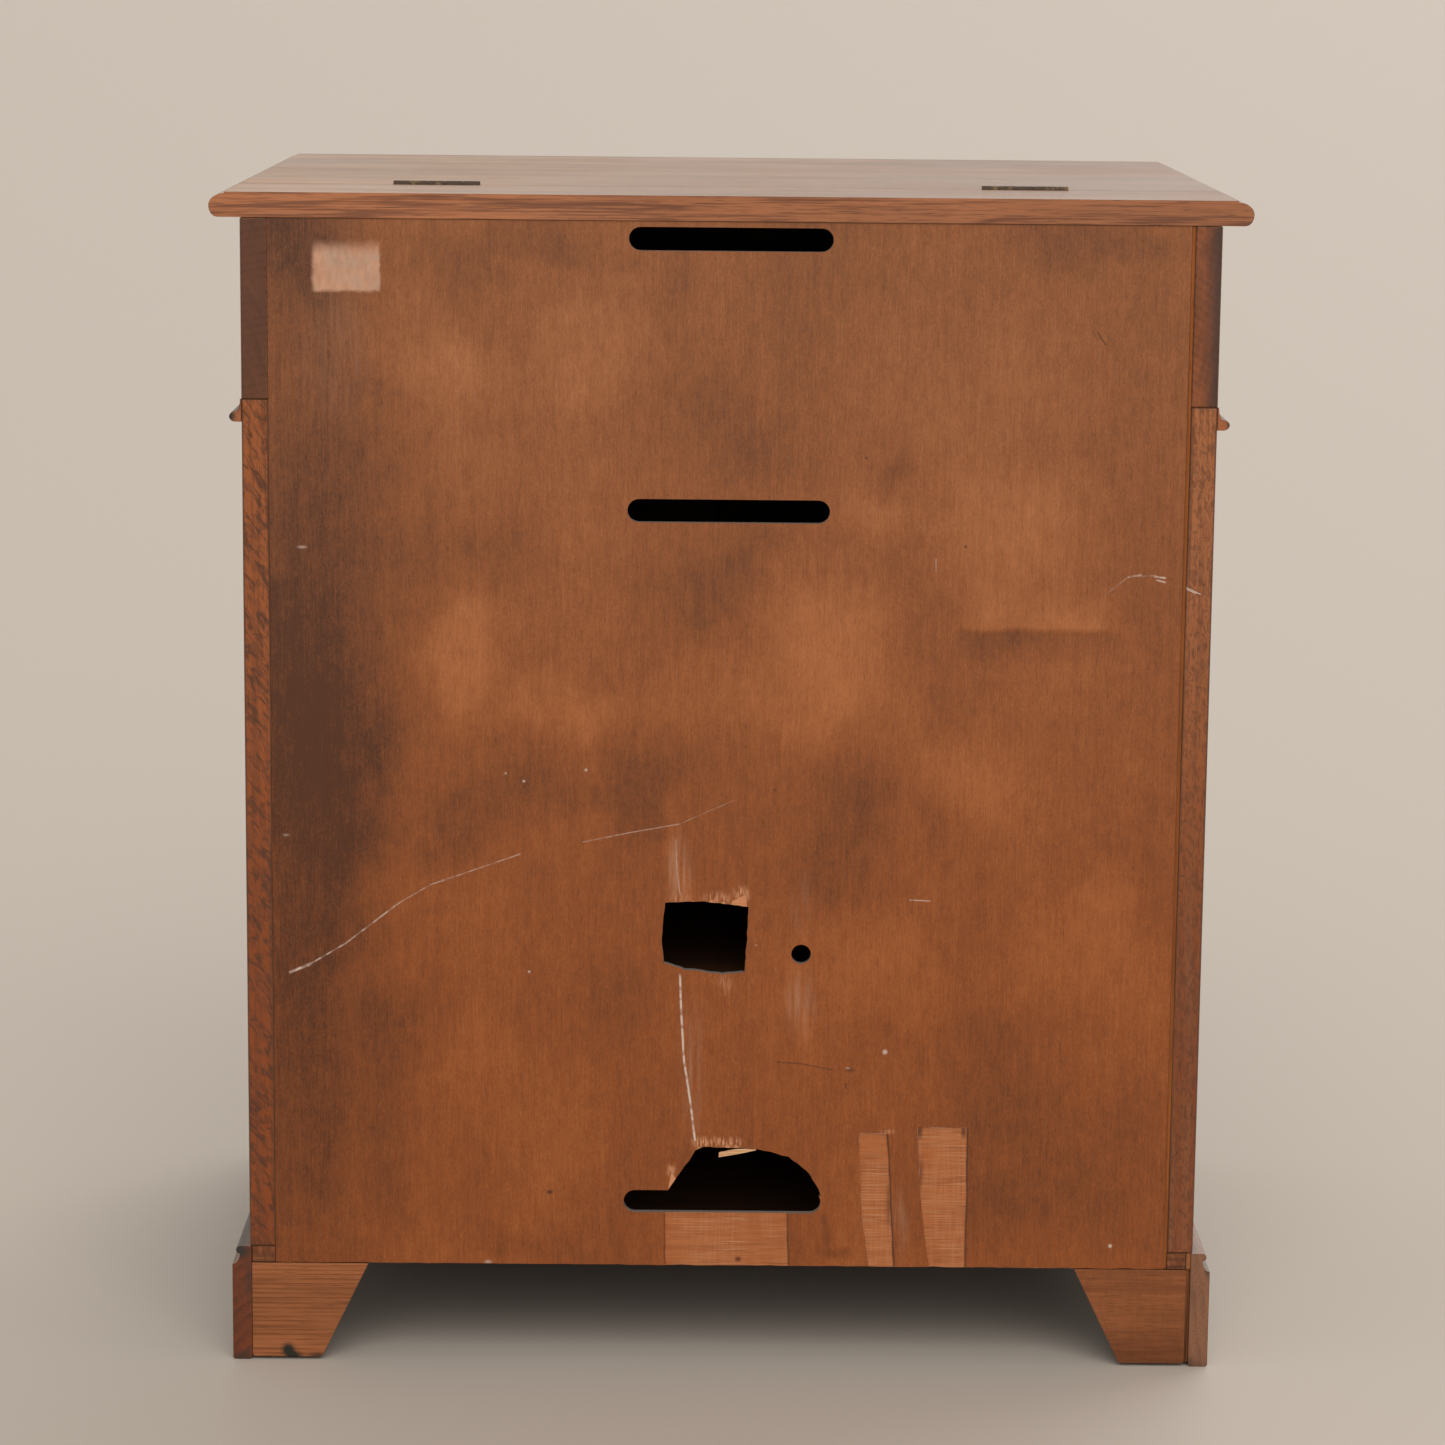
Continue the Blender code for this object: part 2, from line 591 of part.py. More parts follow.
def plinth_section(inner):
    """A board whose top edge has a cove under a bead."""
    outer = inner + PLINTH_THICKNESS
    top = BASE_TOP - GAP
    toe = PLINTH_TOE_RADIUS
    inner_toe = arc((inner + toe, toe), (toe, toe), 180, 270, 3)
    outer_toe = arc((outer - toe, toe), (toe, toe), 270, 360, 3)
    neck = outer - PLINTH_NECK
    bead_low = top - 2 * PLINTH_BEAD_RADIUS
    cove = arc((outer, bead_low), (PLINTH_NECK, bead_low - top + PLINTH_MOULDING), 270, 180, 5)
    bead = arc((neck, top - PLINTH_BEAD_RADIUS), (PLINTH_BEAD_RADIUS, PLINTH_BEAD_RADIUS), -90, 90, 6)
    return [*inner_toe, *outer_toe, *cove, *bead[1:], (inner, top)]


def arch_outline(start, end):
    """The bracket cut-out under a plinth board: an ogee rise, a level and an ogee fall."""
    steps = 8
    rise = [(start + PLINTH_FOOT + PLINTH_OGEE * i / steps,
             PLINTH_ARCH * (1 - math.cos(math.pi * i / steps)) / 2) for i in range(steps + 1)]
    fall = [(start + end - across, up) for across, up in reversed(rise)]
    return [(rise[0][0], -GAP), *rise, *fall, (fall[-1][0], -GAP)]


def eased(before, corner, after):
    """A corner of a rear foot's outline, worn to a short curve of three points."""
    corner = Vector(corner)
    start = corner + (Vector(before) - corner).normalized() * REAR_FOOT_EASING
    end = corner + (Vector(after) - corner).normalized() * REAR_FOOT_EASING
    return [start, (start + 2 * corner + end) / 4, end]


def make_rear_foot(side, sign, outer):
    """Sloping bracket under the bottom board's back edge, square against the side plinth."""
    edge = outer - (REAR_FOOT_LOOSE_GAP if sign < 0 else GAP)
    top = BASE_UNDER - GAP
    toe, heel = (outer - REAR_FOOT_TOE, REAR_FOOT_LIFT), (edge, REAR_FOOT_LIFT)
    slope_top, heel_top = (outer - REAR_FOOT_TOP, top), (edge, top)
    points = [*eased(slope_top, toe, heel), *eased(toe, heel, heel_top), heel_top, slope_top]
    points = points if sign > 0 else mirrored(points)
    prism(f"rear_foot_{side}", points, "XZ", REAR - REAR_FOOT_THICKNESS, REAR, RAW_OAK)


# Doors with dummy drawer fronts

def drawer_face(name, near, far, low, high):
    """A dummy drawer front: mitred mouldings that step in to a raised field."""
    face = board(name, (near, FRONT - FACE_SLAB, low), (far, FRONT + FACE_SLAB, high), None)
    shape = bmesh.new()
    shape.from_mesh(face.data)
    front = min(shape.faces, key=lambda f: f.calc_center_median().y)
    for inset, rise in FACE_STEPS:
        bmesh.ops.inset_region(shape, faces=[front], thickness=inset, depth=rise, use_even_offset=True)
    shape.to_mesh(face.data)
    shape.free()
    return face


def make_doors(stiles):
    middles = [DOOR_LOW + DOOR_HINGE_INSET, DOOR_HIGH - DOOR_HINGE_INSET]
    for side, sign in (("left", -1), ("right", 1)):
        axis = pivot(f"door_{side}_axis", (sign * DOOR_AXIS_X, DOOR_AXIS_Y, DOOR_LOW))
        near, far = sorted((sign * DOOR_GAP / 2, sign * (INSIDE - DOOR_GAP)))
        door = board(f"door_{side}", (near, FRONT, DOOR_LOW), (far, DOOR_BACK, DOOR_HIGH), DARK_OAK,
                     parent=axis)
        face_x = (near + FACE_MARGIN, far - FACE_MARGIN)
        room = DOOR_HIGH - DOOR_LOW - 2 * FACE_MARGIN + FACE_SPACING
        pitch = room / FACES_PER_DOOR
        for row in range(FACES_PER_DOOR):
            low = DOOR_LOW + FACE_MARGIN + row * pitch
            high = low + pitch - FACE_SPACING
            boolean(door, drawer_face(f"door_face_{side}_{row + 1}", *face_x, low, high), "UNION")
            make_handle(f"door_{side}_{row + 1}", sum(face_x) / 2, (low + high) / 2, axis)
        stile = next(piece for piece in stiles if piece.name == f"front_stile_{side}")
        turn = Matrix(((0, sign, 0, 0), (0, 0, -1, 0), (-sign, 0, 0, 0), (0, 0, 0, 1)))
        for level, middle in zip(("lower", "upper"), middles):
            frame = Matrix.Translation((sign * DOOR_AXIS_X, DOOR_AXIS_Y, middle)) @ turn
            place_hinge(f"door_{side}_{level}_hinge", frame, stile, door, axis)


# Drop handles: a turned plate with two ears and a pin, and a pear drop on the pin

def plate_mesh():
    rings = ((0.0, 1.0), (0.55, 1.0), (0.70, 0.6), (0.90, 0.8), (1.0, 0.4), (1.0, 0.0), (0.0, 0.0))
    plate = turned("plate", [(r * PLATE_RADIUS, h * PLATE_THICKNESS) for r, h in rings], BRASS, 20)
    plate.rotation_euler = (math.pi / 2, 0, 0)
    inner, outer = EAR_GAP / 2, EAR_GAP / 2 + EAR_THICKNESS
    root = -PLATE_THICKNESS / 2
    cheek = [(root, PIVOT_UP - EAR_RADIUS), (root, PIVOT_UP + EAR_RADIUS),
             *arc((-PIVOT_OUT, PIVOT_UP), (EAR_RADIUS, EAR_RADIUS), 90, 270, 6)]
    for name, low, high in (("ear_left", -outer, -inner), ("ear_right", inner, outer)):
        boolean(plate, prism(name, cheek, "YZ", low, high, None), "UNION")
    pin_length = 2 * outer - EAR_THICKNESS
    pin = rod("pivot_pin", PIVOT_RADIUS, pin_length, (1, 0, 0), None, (0, -PIVOT_OUT, PIVOT_UP), 12)
    boolean(plate, pin, "UNION")
    return smooth(baked_in_world(plate))


def drop_mesh():
    """A pear drop that hangs from its eye, with the eye's bore at the origin."""
    waist = EAR_RADIUS + 2 * NECK_RADIUS
    belly = DROP_LENGTH - DROP_RADIUS
    steps = 5
    swell = [(NECK_RADIUS + (DROP_RADIUS - NECK_RADIUS) * (1 - math.cos(math.pi * i / steps)) / 2,
              -waist - NECK_RADIUS - (belly - waist - NECK_RADIUS) * i / steps) for i in range(steps + 1)]
    tip = arc((0, -belly), (DROP_RADIUS, DROP_RADIUS), 0, -90, 3)
    collar = [(NECK_RADIUS, -waist + NECK_RADIUS), (2 * NECK_RADIUS, -waist + NECK_RADIUS / 2),
              (2 * NECK_RADIUS, -waist - NECK_RADIUS / 2)]
    neck = [(0, -PIVOT_RADIUS), (NECK_RADIUS, -PIVOT_RADIUS)]
    drop = turned("drop", [*neck, *collar, *swell, *tip[1:-1], (0, -DROP_LENGTH)], BRASS, 12)
    thickness = EAR_GAP - 2 * GAP
    boolean(drop, rod("eye", EYE_RADIUS, thickness, (1, 0, 0), None), "UNION")
    boolean(drop, rod("eye_bore", PIVOT_RADIUS + PIVOT_CLEARANCE, 2 * thickness, (1, 0, 0), None))
    return smooth(baked_in_world(drop), 50)


def make_handle(name, across, middle, parent):
    seat = FRONT - FACE_RISE - GAP
    place(f"handle_plate_{name}", PLATE.copy(), BRASS, (across, seat, middle), parent)
    place(f"handle_drop_{name}", DROP.copy(), BRASS, (across, seat - PIVOT_OUT, middle + PIVOT_UP), parent)


# Quadrant stay, concentric with the lid's hinges

def polar(radius, angle):
    """A point at a radius from the lid's axis, angle in degrees down from straight forward."""
    turn = math.radians(angle)
    return LID_AXIS.y - radius * math.cos(turn), LID_AXIS.z - radius * math.sin(turn)


def make_stay():
    across = INSIDE - STAY_FROM_SIDE
    half = STAY_THICKNESS / 2
    inner, outer = STAY_RADIUS - STAY_WIDTH / 2, STAY_RADIUS + STAY_WIDTH / 2
    flange_x, flange_y, flange_z = STAY_FLANGE
    flange_top = TOP_UNDER - GAP
    start = math.degrees(math.asin((HEIGHT - flange_top + flange_z / 2) / inner))
    end = start + STAY_SWEEP
    steps = 20
    angles = [start + (end - start) * i / steps for i in range(steps + 1)]
    points = [polar(inner, a) for a in angles] + [polar(outer, a) for a in reversed(angles)]
    stay = prism("lid_stay_quadrant", points, "YZ", across - half, across + half, BRASS, lid_pivot)
    flange_centre = polar(STAY_RADIUS, start)[0]
    flange_front, flange_rear = flange_centre - flange_y / 2, flange_centre + flange_y / 2
    flange = board("stay_flange", (across - flange_x / 2, flange_front, flange_top - flange_z),
                   (across + flange_x / 2, flange_rear, flange_top), None)
    boolean(stay, flange, "UNION")
    knob_centre = (across, *polar(STAY_RADIUS, end))
    knob = rod("stay_knob", STAY_KNOB_RADIUS, STAY_KNOB_LENGTH, (1, 0, 0), None, knob_centre)
    boolean(stay, knob, "UNION")

    rim = STAY_WIDTH / 2 + KEEPER_CLEARANCE + KEEPER_RIM
    wall = INSIDE - GAP
    flange_thickness, flange_height = KEEPER_FLANGE
    near = across - half - KEEPER_CLEARANCE - KEEPER_RIM
    tilt = Matrix.Rotation(math.radians(KEEPER_ANGLE), 4, "X")
    keeper = board("lid_stay_keeper", (near, -rim, -KEEPER_THICKNESS / 2),
                   (wall, rim, KEEPER_THICKNESS / 2), BRASS, 0)
    back = board("keeper_flange", (wall - flange_thickness, -rim, -flange_height / 2),
                 (wall, rim, flange_height / 2), None)
    slot_half = half + KEEPER_CLEARANCE
    reach = STAY_WIDTH / 2 + KEEPER_CLEARANCE
    slot = board("keeper_slot", (across - slot_half, -reach, -flange_height),
                 (across + slot_half, reach, flange_height), None)
    centre = Vector((0, *polar(STAY_RADIUS, KEEPER_ANGLE)))
    for piece in (keeper, back, slot):
        piece.location += centre
        piece.rotation_euler = tilt.to_euler()
    boolean(keeper, back, "UNION")
    boolean(keeper, slot)


FIXED_LEAF = leaf_mesh(True)
MOVING_LEAF = leaf_mesh(False)
PLATE = plate_mesh()
DROP = drop_mesh()
lid_pivot = pivot("lid_axis", LID_AXIS)
make_top()
make_upper_case()
make_waist()
make_doors(make_sides())
make_back()
make_base()
make_stay()
bpy.context.view_layer.update()
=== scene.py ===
import math
import random

import bmesh
import bpy
from mathutils import Matrix, Vector


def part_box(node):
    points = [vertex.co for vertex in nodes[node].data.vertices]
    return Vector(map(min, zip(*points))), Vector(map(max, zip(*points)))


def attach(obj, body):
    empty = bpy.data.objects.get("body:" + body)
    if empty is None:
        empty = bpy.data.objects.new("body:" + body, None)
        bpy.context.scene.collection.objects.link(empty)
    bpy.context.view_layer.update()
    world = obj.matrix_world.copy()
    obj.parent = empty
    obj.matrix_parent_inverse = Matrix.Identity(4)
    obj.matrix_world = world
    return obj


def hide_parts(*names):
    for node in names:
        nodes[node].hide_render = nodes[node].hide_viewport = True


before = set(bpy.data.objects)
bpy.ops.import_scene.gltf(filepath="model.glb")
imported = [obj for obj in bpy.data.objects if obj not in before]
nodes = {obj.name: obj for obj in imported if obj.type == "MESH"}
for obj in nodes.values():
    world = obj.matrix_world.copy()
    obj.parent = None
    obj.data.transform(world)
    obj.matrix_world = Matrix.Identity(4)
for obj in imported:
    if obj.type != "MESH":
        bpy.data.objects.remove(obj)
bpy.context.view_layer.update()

# ---------------------------------------------------------------- Camera
# The camera stands 3.3 m behind the cabinet, a little higher than its top, with a long lens. Its place
# and angles were fitted to the cabinet's straight edges.
CAMERA_PLACE = (0.0181, 3.5865, 1.1046)
CAMERA_LENS = 107.67
CAMERA_DOWN = math.radians(10.19)
CAMERA_TURN = math.radians(-0.26)
CAMERA_TILT = math.radians(-0.55)

camera = bpy.data.objects.new("camera", bpy.data.cameras.new("camera"))
bpy.context.scene.collection.objects.link(camera)
camera.data.lens = CAMERA_LENS
camera.data.sensor_width = 36
facing_front = Matrix(((-1, 0, 0), (0, 0, 1), (0, 1, 0)))
aim = Matrix.Rotation(CAMERA_TURN, 3, "Z") @ facing_front @ Matrix.Rotation(-CAMERA_DOWN, 3, "X")
aim = aim @ Matrix.Rotation(-CAMERA_TILT, 3, "Z")
camera.matrix_world = Matrix.Translation(CAMERA_PLACE) @ aim.to_4x4()
bpy.context.scene.camera = camera

# ---------------------------------------------------------------- Studio
# A plain pale floor under soft light: a broad light from high behind the camera, a weaker one for the
# front, and an even pale surround.
FLOOR_HALF = 400.0
FLOOR_COLOUR = (0.47, 0.435, 0.395, 1)
SURROUND_COLOUR = (1.0, 0.935, 0.86, 1)
SURROUND_STRENGTH = 0.62
LAMP_COLOUR = (1.0, 0.93, 0.86)
LAMP_SPREAD = math.radians(55)

bpy.context.scene.view_settings.view_transform = "Standard"


def joined(name, parts, body=None):
    """One mesh object made of bmesh parts, riding on a body if one is given."""
    whole = bmesh.new()
    for part in parts:
        piece = bpy.data.meshes.new("part")
        part.to_mesh(piece)
        part.free()
        whole.from_mesh(piece)
        bpy.data.meshes.remove(piece)
    mesh = bpy.data.meshes.new(name)
    whole.to_mesh(mesh)
    whole.free()
    made = bpy.data.objects.new(name, mesh)
    bpy.context.scene.collection.objects.link(made)
    if body:
        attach(made, body)
    return made


def soft_light(name, place, strength):
    """A broad, even light that falls from its place towards the cabinet."""
    lamp = bpy.data.lights.new(name, "SUN")
    lamp.angle = LAMP_SPREAD
    lamp.energy = strength
    lamp.color = LAMP_COLOUR
    holder = bpy.data.objects.new(name, lamp)
    bpy.context.scene.collection.objects.link(holder)
    aimed = Vector(place).to_track_quat("Z", "Y").to_matrix().to_4x4()
    holder.matrix_world = Matrix.Translation(place) @ aimed


sheet = bmesh.new()
bmesh.ops.create_grid(sheet, x_segments=1, y_segments=1, size=FLOOR_HALF)
floor = joined("floor", [sheet])
floor_paint = bpy.data.materials.new("floor_paint")
floor_paint.use_nodes = True
floor_shader = floor_paint.node_tree.nodes["Principled BSDF"]
floor_shader.inputs["Base Color"].default_value = FLOOR_COLOUR
floor_shader.inputs["Roughness"].default_value = 0.7
floor.data.materials.append(floor_paint)

surround = bpy.data.worlds.new("surround")
surround.use_nodes = True
surround.node_tree.nodes["Background"].inputs["Color"].default_value = SURROUND_COLOUR
surround.node_tree.nodes["Background"].inputs["Strength"].default_value = SURROUND_STRENGTH
bpy.context.scene.world = surround

soft_light("key_light", (-0.5, 4.0, 3.2), 1.65)
soft_light("front_light", (-2.2, -4.0, 3.4), 1.1)

# ---------------------------------------------------------------- Plinth boards and rear feet
# Three moulded oak boards stand under the carcase, mitred at the front, with bracket feet cut out of
# their lower edges. Two plain raw brackets close the back. Outside faces are stained and waxed, and the
# sawn ends at the back are only dirty with stain at their outer edges.


def node(tree, kind, inputs=(), **settings):
    """A shader node with its settings, and inputs given as values or as other nodes' outputs."""
    made = tree.nodes.new("ShaderNode" + kind)
    for name, value in settings.items():
        setattr(made, name, value)
    for name, value in dict(inputs).items():
        if isinstance(value, bpy.types.NodeSocket):
            tree.links.new(value, made.inputs[name])
        else:
            made.inputs[name].default_value = value
    return made


def calc(tree, operation, first, second=0.0):
    """One sum on two numbers or outputs."""
    return node(tree, "Math", {0: first, 1: second}, operation=operation).outputs[0]


def plus(tree, first, second):
    """The sum of two numbers or outputs."""
    return calc(tree, "ADD", first, second)


def minus(tree, first, second):
    """What is left of the first number or output when the second is taken off."""
    return calc(tree, "SUBTRACT", first, second)


def times(tree, first, second):
    """The product of two numbers or outputs."""
    return calc(tree, "MULTIPLY", first, second)


def vector_calc(tree, operation, first, second=(0, 0, 0)):
    """One sum on two vectors, which may give a vector or a value."""
    made = node(tree, "VectorMath", {0: first, 1: second}, operation=operation)
    return made.outputs["Value" if operation in ("DOT_PRODUCT", "LENGTH") else "Vector"]


def ramp(tree, value, low, high, to_low=0.0, to_high=1.0):
    """A smooth step of a value from low to high."""
    inputs = {"Value": value, "From Min": low, "From Max": high, "To Min": to_low, "To Max": to_high}
    return node(tree, "MapRange", inputs, interpolation_type="SMOOTHSTEP").outputs[0]


def mixed(tree, factor, first, second, mode="MIX"):
    """Two colours mixed by a factor."""
    made = node(tree, "Mix", {0: factor, 6: first, 7: second}, data_type="RGBA", blend_type=mode)
    return made.outputs[2]


def noise(tree, vector, stretch, detail=2.0, rough=0.5, bend=0.0):
    """Noise in cells of one over stretch metres along each axis, from 0 to 1."""
    scaled = vector_calc(tree, "MULTIPLY", vector, stretch)
    inputs = {"Vector": scaled, "Scale": 1.0, "Detail": detail, "Roughness": rough, "Distortion": bend}
    return node(tree, "TexNoise", inputs).outputs["Fac"]


def new_group(name, inputs, outputs):
    """An empty shader group with named sockets, and the sockets seen from inside it."""
    tree = bpy.data.node_groups.new(name, "ShaderNodeTree")
    for socket, kind, value in inputs:
        made = tree.interface.new_socket(socket, in_out="INPUT", socket_type="NodeSocket" + kind)
        made.default_value = value
    for socket, kind in outputs:
        tree.interface.new_socket(socket, in_out="OUTPUT", socket_type="NodeSocket" + kind)
    return tree, tree.nodes.new("NodeGroupInput").outputs, tree.nodes.new("NodeGroupOutput").inputs


def placed(tree, group, inputs):
    """A shader group placed in a material."""
    made = tree.nodes.new("ShaderNodeGroup")
    made.node_tree = group
    for name, value in inputs.items():
        if isinstance(value, bpy.types.NodeSocket):
            tree.links.new(value, made.inputs[name])
        else:
            made.inputs[name].default_value = value
    return made.outputs


def oak_board_group():
    """Oak seen on any face of a board whose grain runs along X of the vector it is given."""
    tree, given, out = new_group("oak_board", (
        ("Board", "Vector", (0, 0, 0)), ("Early Wood", "Color", (0.4, 0.2, 0.1, 1)),
        ("Late Wood", "Color", (0.2, 0.1, 0.05, 1)), ("Ring", "Float", 0.004), ("Wander", "Float", 0.01),
        ("Streaks", "Float", 0.6), ("Flecks", "Float", 0.0)), (("Color", "Color"), ("Height", "Float")))
    board = given["Board"]
    bend = times(tree, minus(tree, noise(tree, board, (2.5, 11, 11)), 0.5), given["Wander"])
    across = vector_calc(tree, "MULTIPLY", board, (0, 1, 1))
    radius = plus(tree, vector_calc(tree, "LENGTH", across), bend)
    rings = calc(tree, "FRACT", calc(tree, "DIVIDE", radius, given["Ring"]))
    late = times(tree, ramp(tree, rings, 0.15, 0.85), ramp(tree, rings, 1.0, 0.9))
    patchy = ramp(tree, noise(tree, board, (5, 60, 60)), 0.3, 0.7, 0.25, 1.0)
    late = times(tree, late, patchy)
    streaks = ramp(tree, noise(tree, board, (16, 420, 420), 3, 0.6), 0.32, 0.68, -0.5, 0.5)
    thin = ramp(tree, noise(tree, board, (14, 1000, 1000), 2, 0.6), 0.35, 0.65, -0.35, 0.35)
    streaks = plus(tree, streaks, thin)
    figure = plus(tree, late, times(tree, streaks, given["Streaks"]))
    figure = node(tree, "Clamp", {"Value": figure}).outputs[0]
    colour = mixed(tree, figure, given["Early Wood"], given["Late Wood"])
    pores = ramp(tree, noise(tree, board, (60, 1500, 1500), 1), 0.60, 0.72)
    pores = times(tree, pores, minus(tree, 1.0, times(tree, late, 0.6)))
    colour = mixed(tree, times(tree, pores, 0.45), colour, (0.03, 0.014, 0.007, 1))
    rays = ramp(tree, noise(tree, board, (45, 160, 160), 2, 0.5, 1.2), 0.56, 0.66)
    rays = times(tree, rays, given["Flecks"])
    pale = mixed(tree, 1.0, given["Early Wood"], (1.45, 1.4, 1.3, 1), "MULTIPLY")
    colour = mixed(tree, rays, colour, pale)
    height = minus(tree, times(tree, streaks, 0.25), pores)
    tree.links.new(colour, out["Color"])
    tree.links.new(height, out["Height"])
    return tree


def arris_group():
    """Where a piece has a sharp edge: a mask that breaks up along the edge, and the eased normal."""
    tree, given, out = new_group("arris", (("Radius", "Float", 0.001), ("Vector", "Vector", (0, 0, 0))),
                                 (("Mask", "Float"), ("Normal", "Vector")))
    eased = node(tree, "Bevel", {"Radius": given["Radius"]}, samples=4).outputs[0]
    flat = node(tree, "NewGeometry").outputs["Normal"]
    turned = minus(tree, 1.0, vector_calc(tree, "DOT_PRODUCT", eased, flat))
    broken = ramp(tree, noise(tree, given["Vector"], (70, 70, 70), 3, 0.6), 0.3, 0.7, 0.2, 1.0)
    mask = times(tree, ramp(tree, turned, 0.01, 0.16), broken)
    tree.links.new(mask, out["Mask"])
    tree.links.new(eased, out["Normal"])
    return tree


def dirt_and_shade_group():
    """Old wax and dirt, and painted shade where little light reaches, in hollows and inside corners."""
    tree, given, out = new_group("dirt_and_shade", (
        ("Reach", "Float", 0.01), ("Vector", "Vector", (0, 0, 0))), (("Mask", "Float"),))
    shut = node(tree, "AmbientOcclusion", {"Distance": given["Reach"]}, samples=4).outputs["AO"]
    patchy = ramp(tree, noise(tree, given["Vector"], (25, 25, 25), 3, 0.6), 0.3, 0.7, 0.55, 1.0)
    tree.links.new(times(tree, ramp(tree, shut, 0.85, 0.25), patchy), out["Mask"])
    return tree


def spot_group():
    """A soft round spot in the plane of the back, 1 in its middle and 0 past its half size."""
    tree, given, out = new_group("spot", (
        ("Vector", "Vector", (0, 0, 0)), ("Middle", "Vector", (0, 0, 0)), ("Half Size", "Vector", (1, 1, 1)),
        ("Core", "Float", 0.1)), (("Mask", "Float"),))
    off = vector_calc(tree, "DIVIDE", vector_calc(tree, "SUBTRACT", given["Vector"], given["Middle"]),
                      given["Half Size"])
    away = vector_calc(tree, "LENGTH", vector_calc(tree, "MULTIPLY", off, (1, 0, 1)))
    tree.links.new(ramp(tree, away, 1.0, given["Core"]), out["Mask"])
    return tree


def scratch_group():
    """A scratch in the plane of the back, from one point to another."""
    tree, given, out = new_group("scratch", (
        ("Vector", "Vector", (0, 0, 0)), ("From", "Vector", (0, 0, 0)), ("To", "Vector", (1, 0, 0)),
        ("Half Width", "Float", 0.0005)), (("Mask", "Float"),))
    run = vector_calc(tree, "SUBTRACT", given["To"], given["From"])
    at = vector_calc(tree, "SUBTRACT", given["Vector"], given["From"])
    at = vector_calc(tree, "MULTIPLY", at, (1, 0, 1))
    share = calc(tree, "DIVIDE", vector_calc(tree, "DOT_PRODUCT", at, run),
                 vector_calc(tree, "DOT_PRODUCT", run, run))
    share = node(tree, "Clamp", {"Value": share}).outputs[0]
    nearest = node(tree, "VectorMath", {0: run, "Scale": share}, operation="SCALE").outputs[0]
    away = vector_calc(tree, "LENGTH", vector_calc(tree, "SUBTRACT", at, nearest))
    tree.links.new(ramp(tree, calc(tree, "DIVIDE", away, given["Half Width"]), 1.0, 0.3), out["Mask"])
    return tree


def spots(tree, vector, rows):
    """The sum of soft spots, each given as X, Z, half width, half height and strength."""
    total = 0.0
    for x, z, wide, high, strength in rows:
        inputs = {"Vector": vector, "Middle": (x, 0, z), "Half Size": (wide, 1, high)}
        total = plus(tree, total, times(tree, placed(tree, SPOT, inputs)["Mask"], strength))
    return total


def scratches(tree, vector, lines):
    """The strongest of scratches, each given as a half width, a strength and its points."""
    total = 0.0
    for half_width, strength, *points in lines:
        for start, end in zip(points, points[1:]):
            inputs = {"Vector": vector, "From": (start[0], 0, start[1]), "To": (end[0], 0, end[1]),
                      "Half Width": half_width}
            mask = times(tree, placed(tree, SCRATCH, inputs)["Mask"], strength)
            total = calc(tree, "MAXIMUM", total, mask)
    return total


OAK_BOARD = oak_board_group()
ARRIS = arris_group()
DIRT_AND_SHADE = dirt_and_shade_group()
SPOT = spot_group()
SCRATCH = scratch_group()

GRAIN_TURN = {"X": (0, 0, 0), "Y": (0, 0, math.radians(-90)), "Z": (0, math.radians(90), 0)}
GRAIN_AXIS = {"X": (1, 0, 0), "Y": (0, 1, 0), "Z": (0, 0, 1)}
STAINED = {"early": (0.180, 0.071, 0.029, 1), "late": (0.070, 0.027, 0.012, 1)}
SAWN = {"early": (0.36, 0.130, 0.050, 1), "late": (0.150, 0.050, 0.020, 1)}
RUBBED = (0.34, 0.165, 0.075, 1)
STAIN_EDGE = (0.034, 0.022, 0.020, 1)


def new_material(name):
    """An empty material with its shader tree and Principled BSDF."""
    made = bpy.data.materials.new(name)
    made.use_nodes = True
    return made, made.node_tree, made.node_tree.nodes["Principled BSDF"]


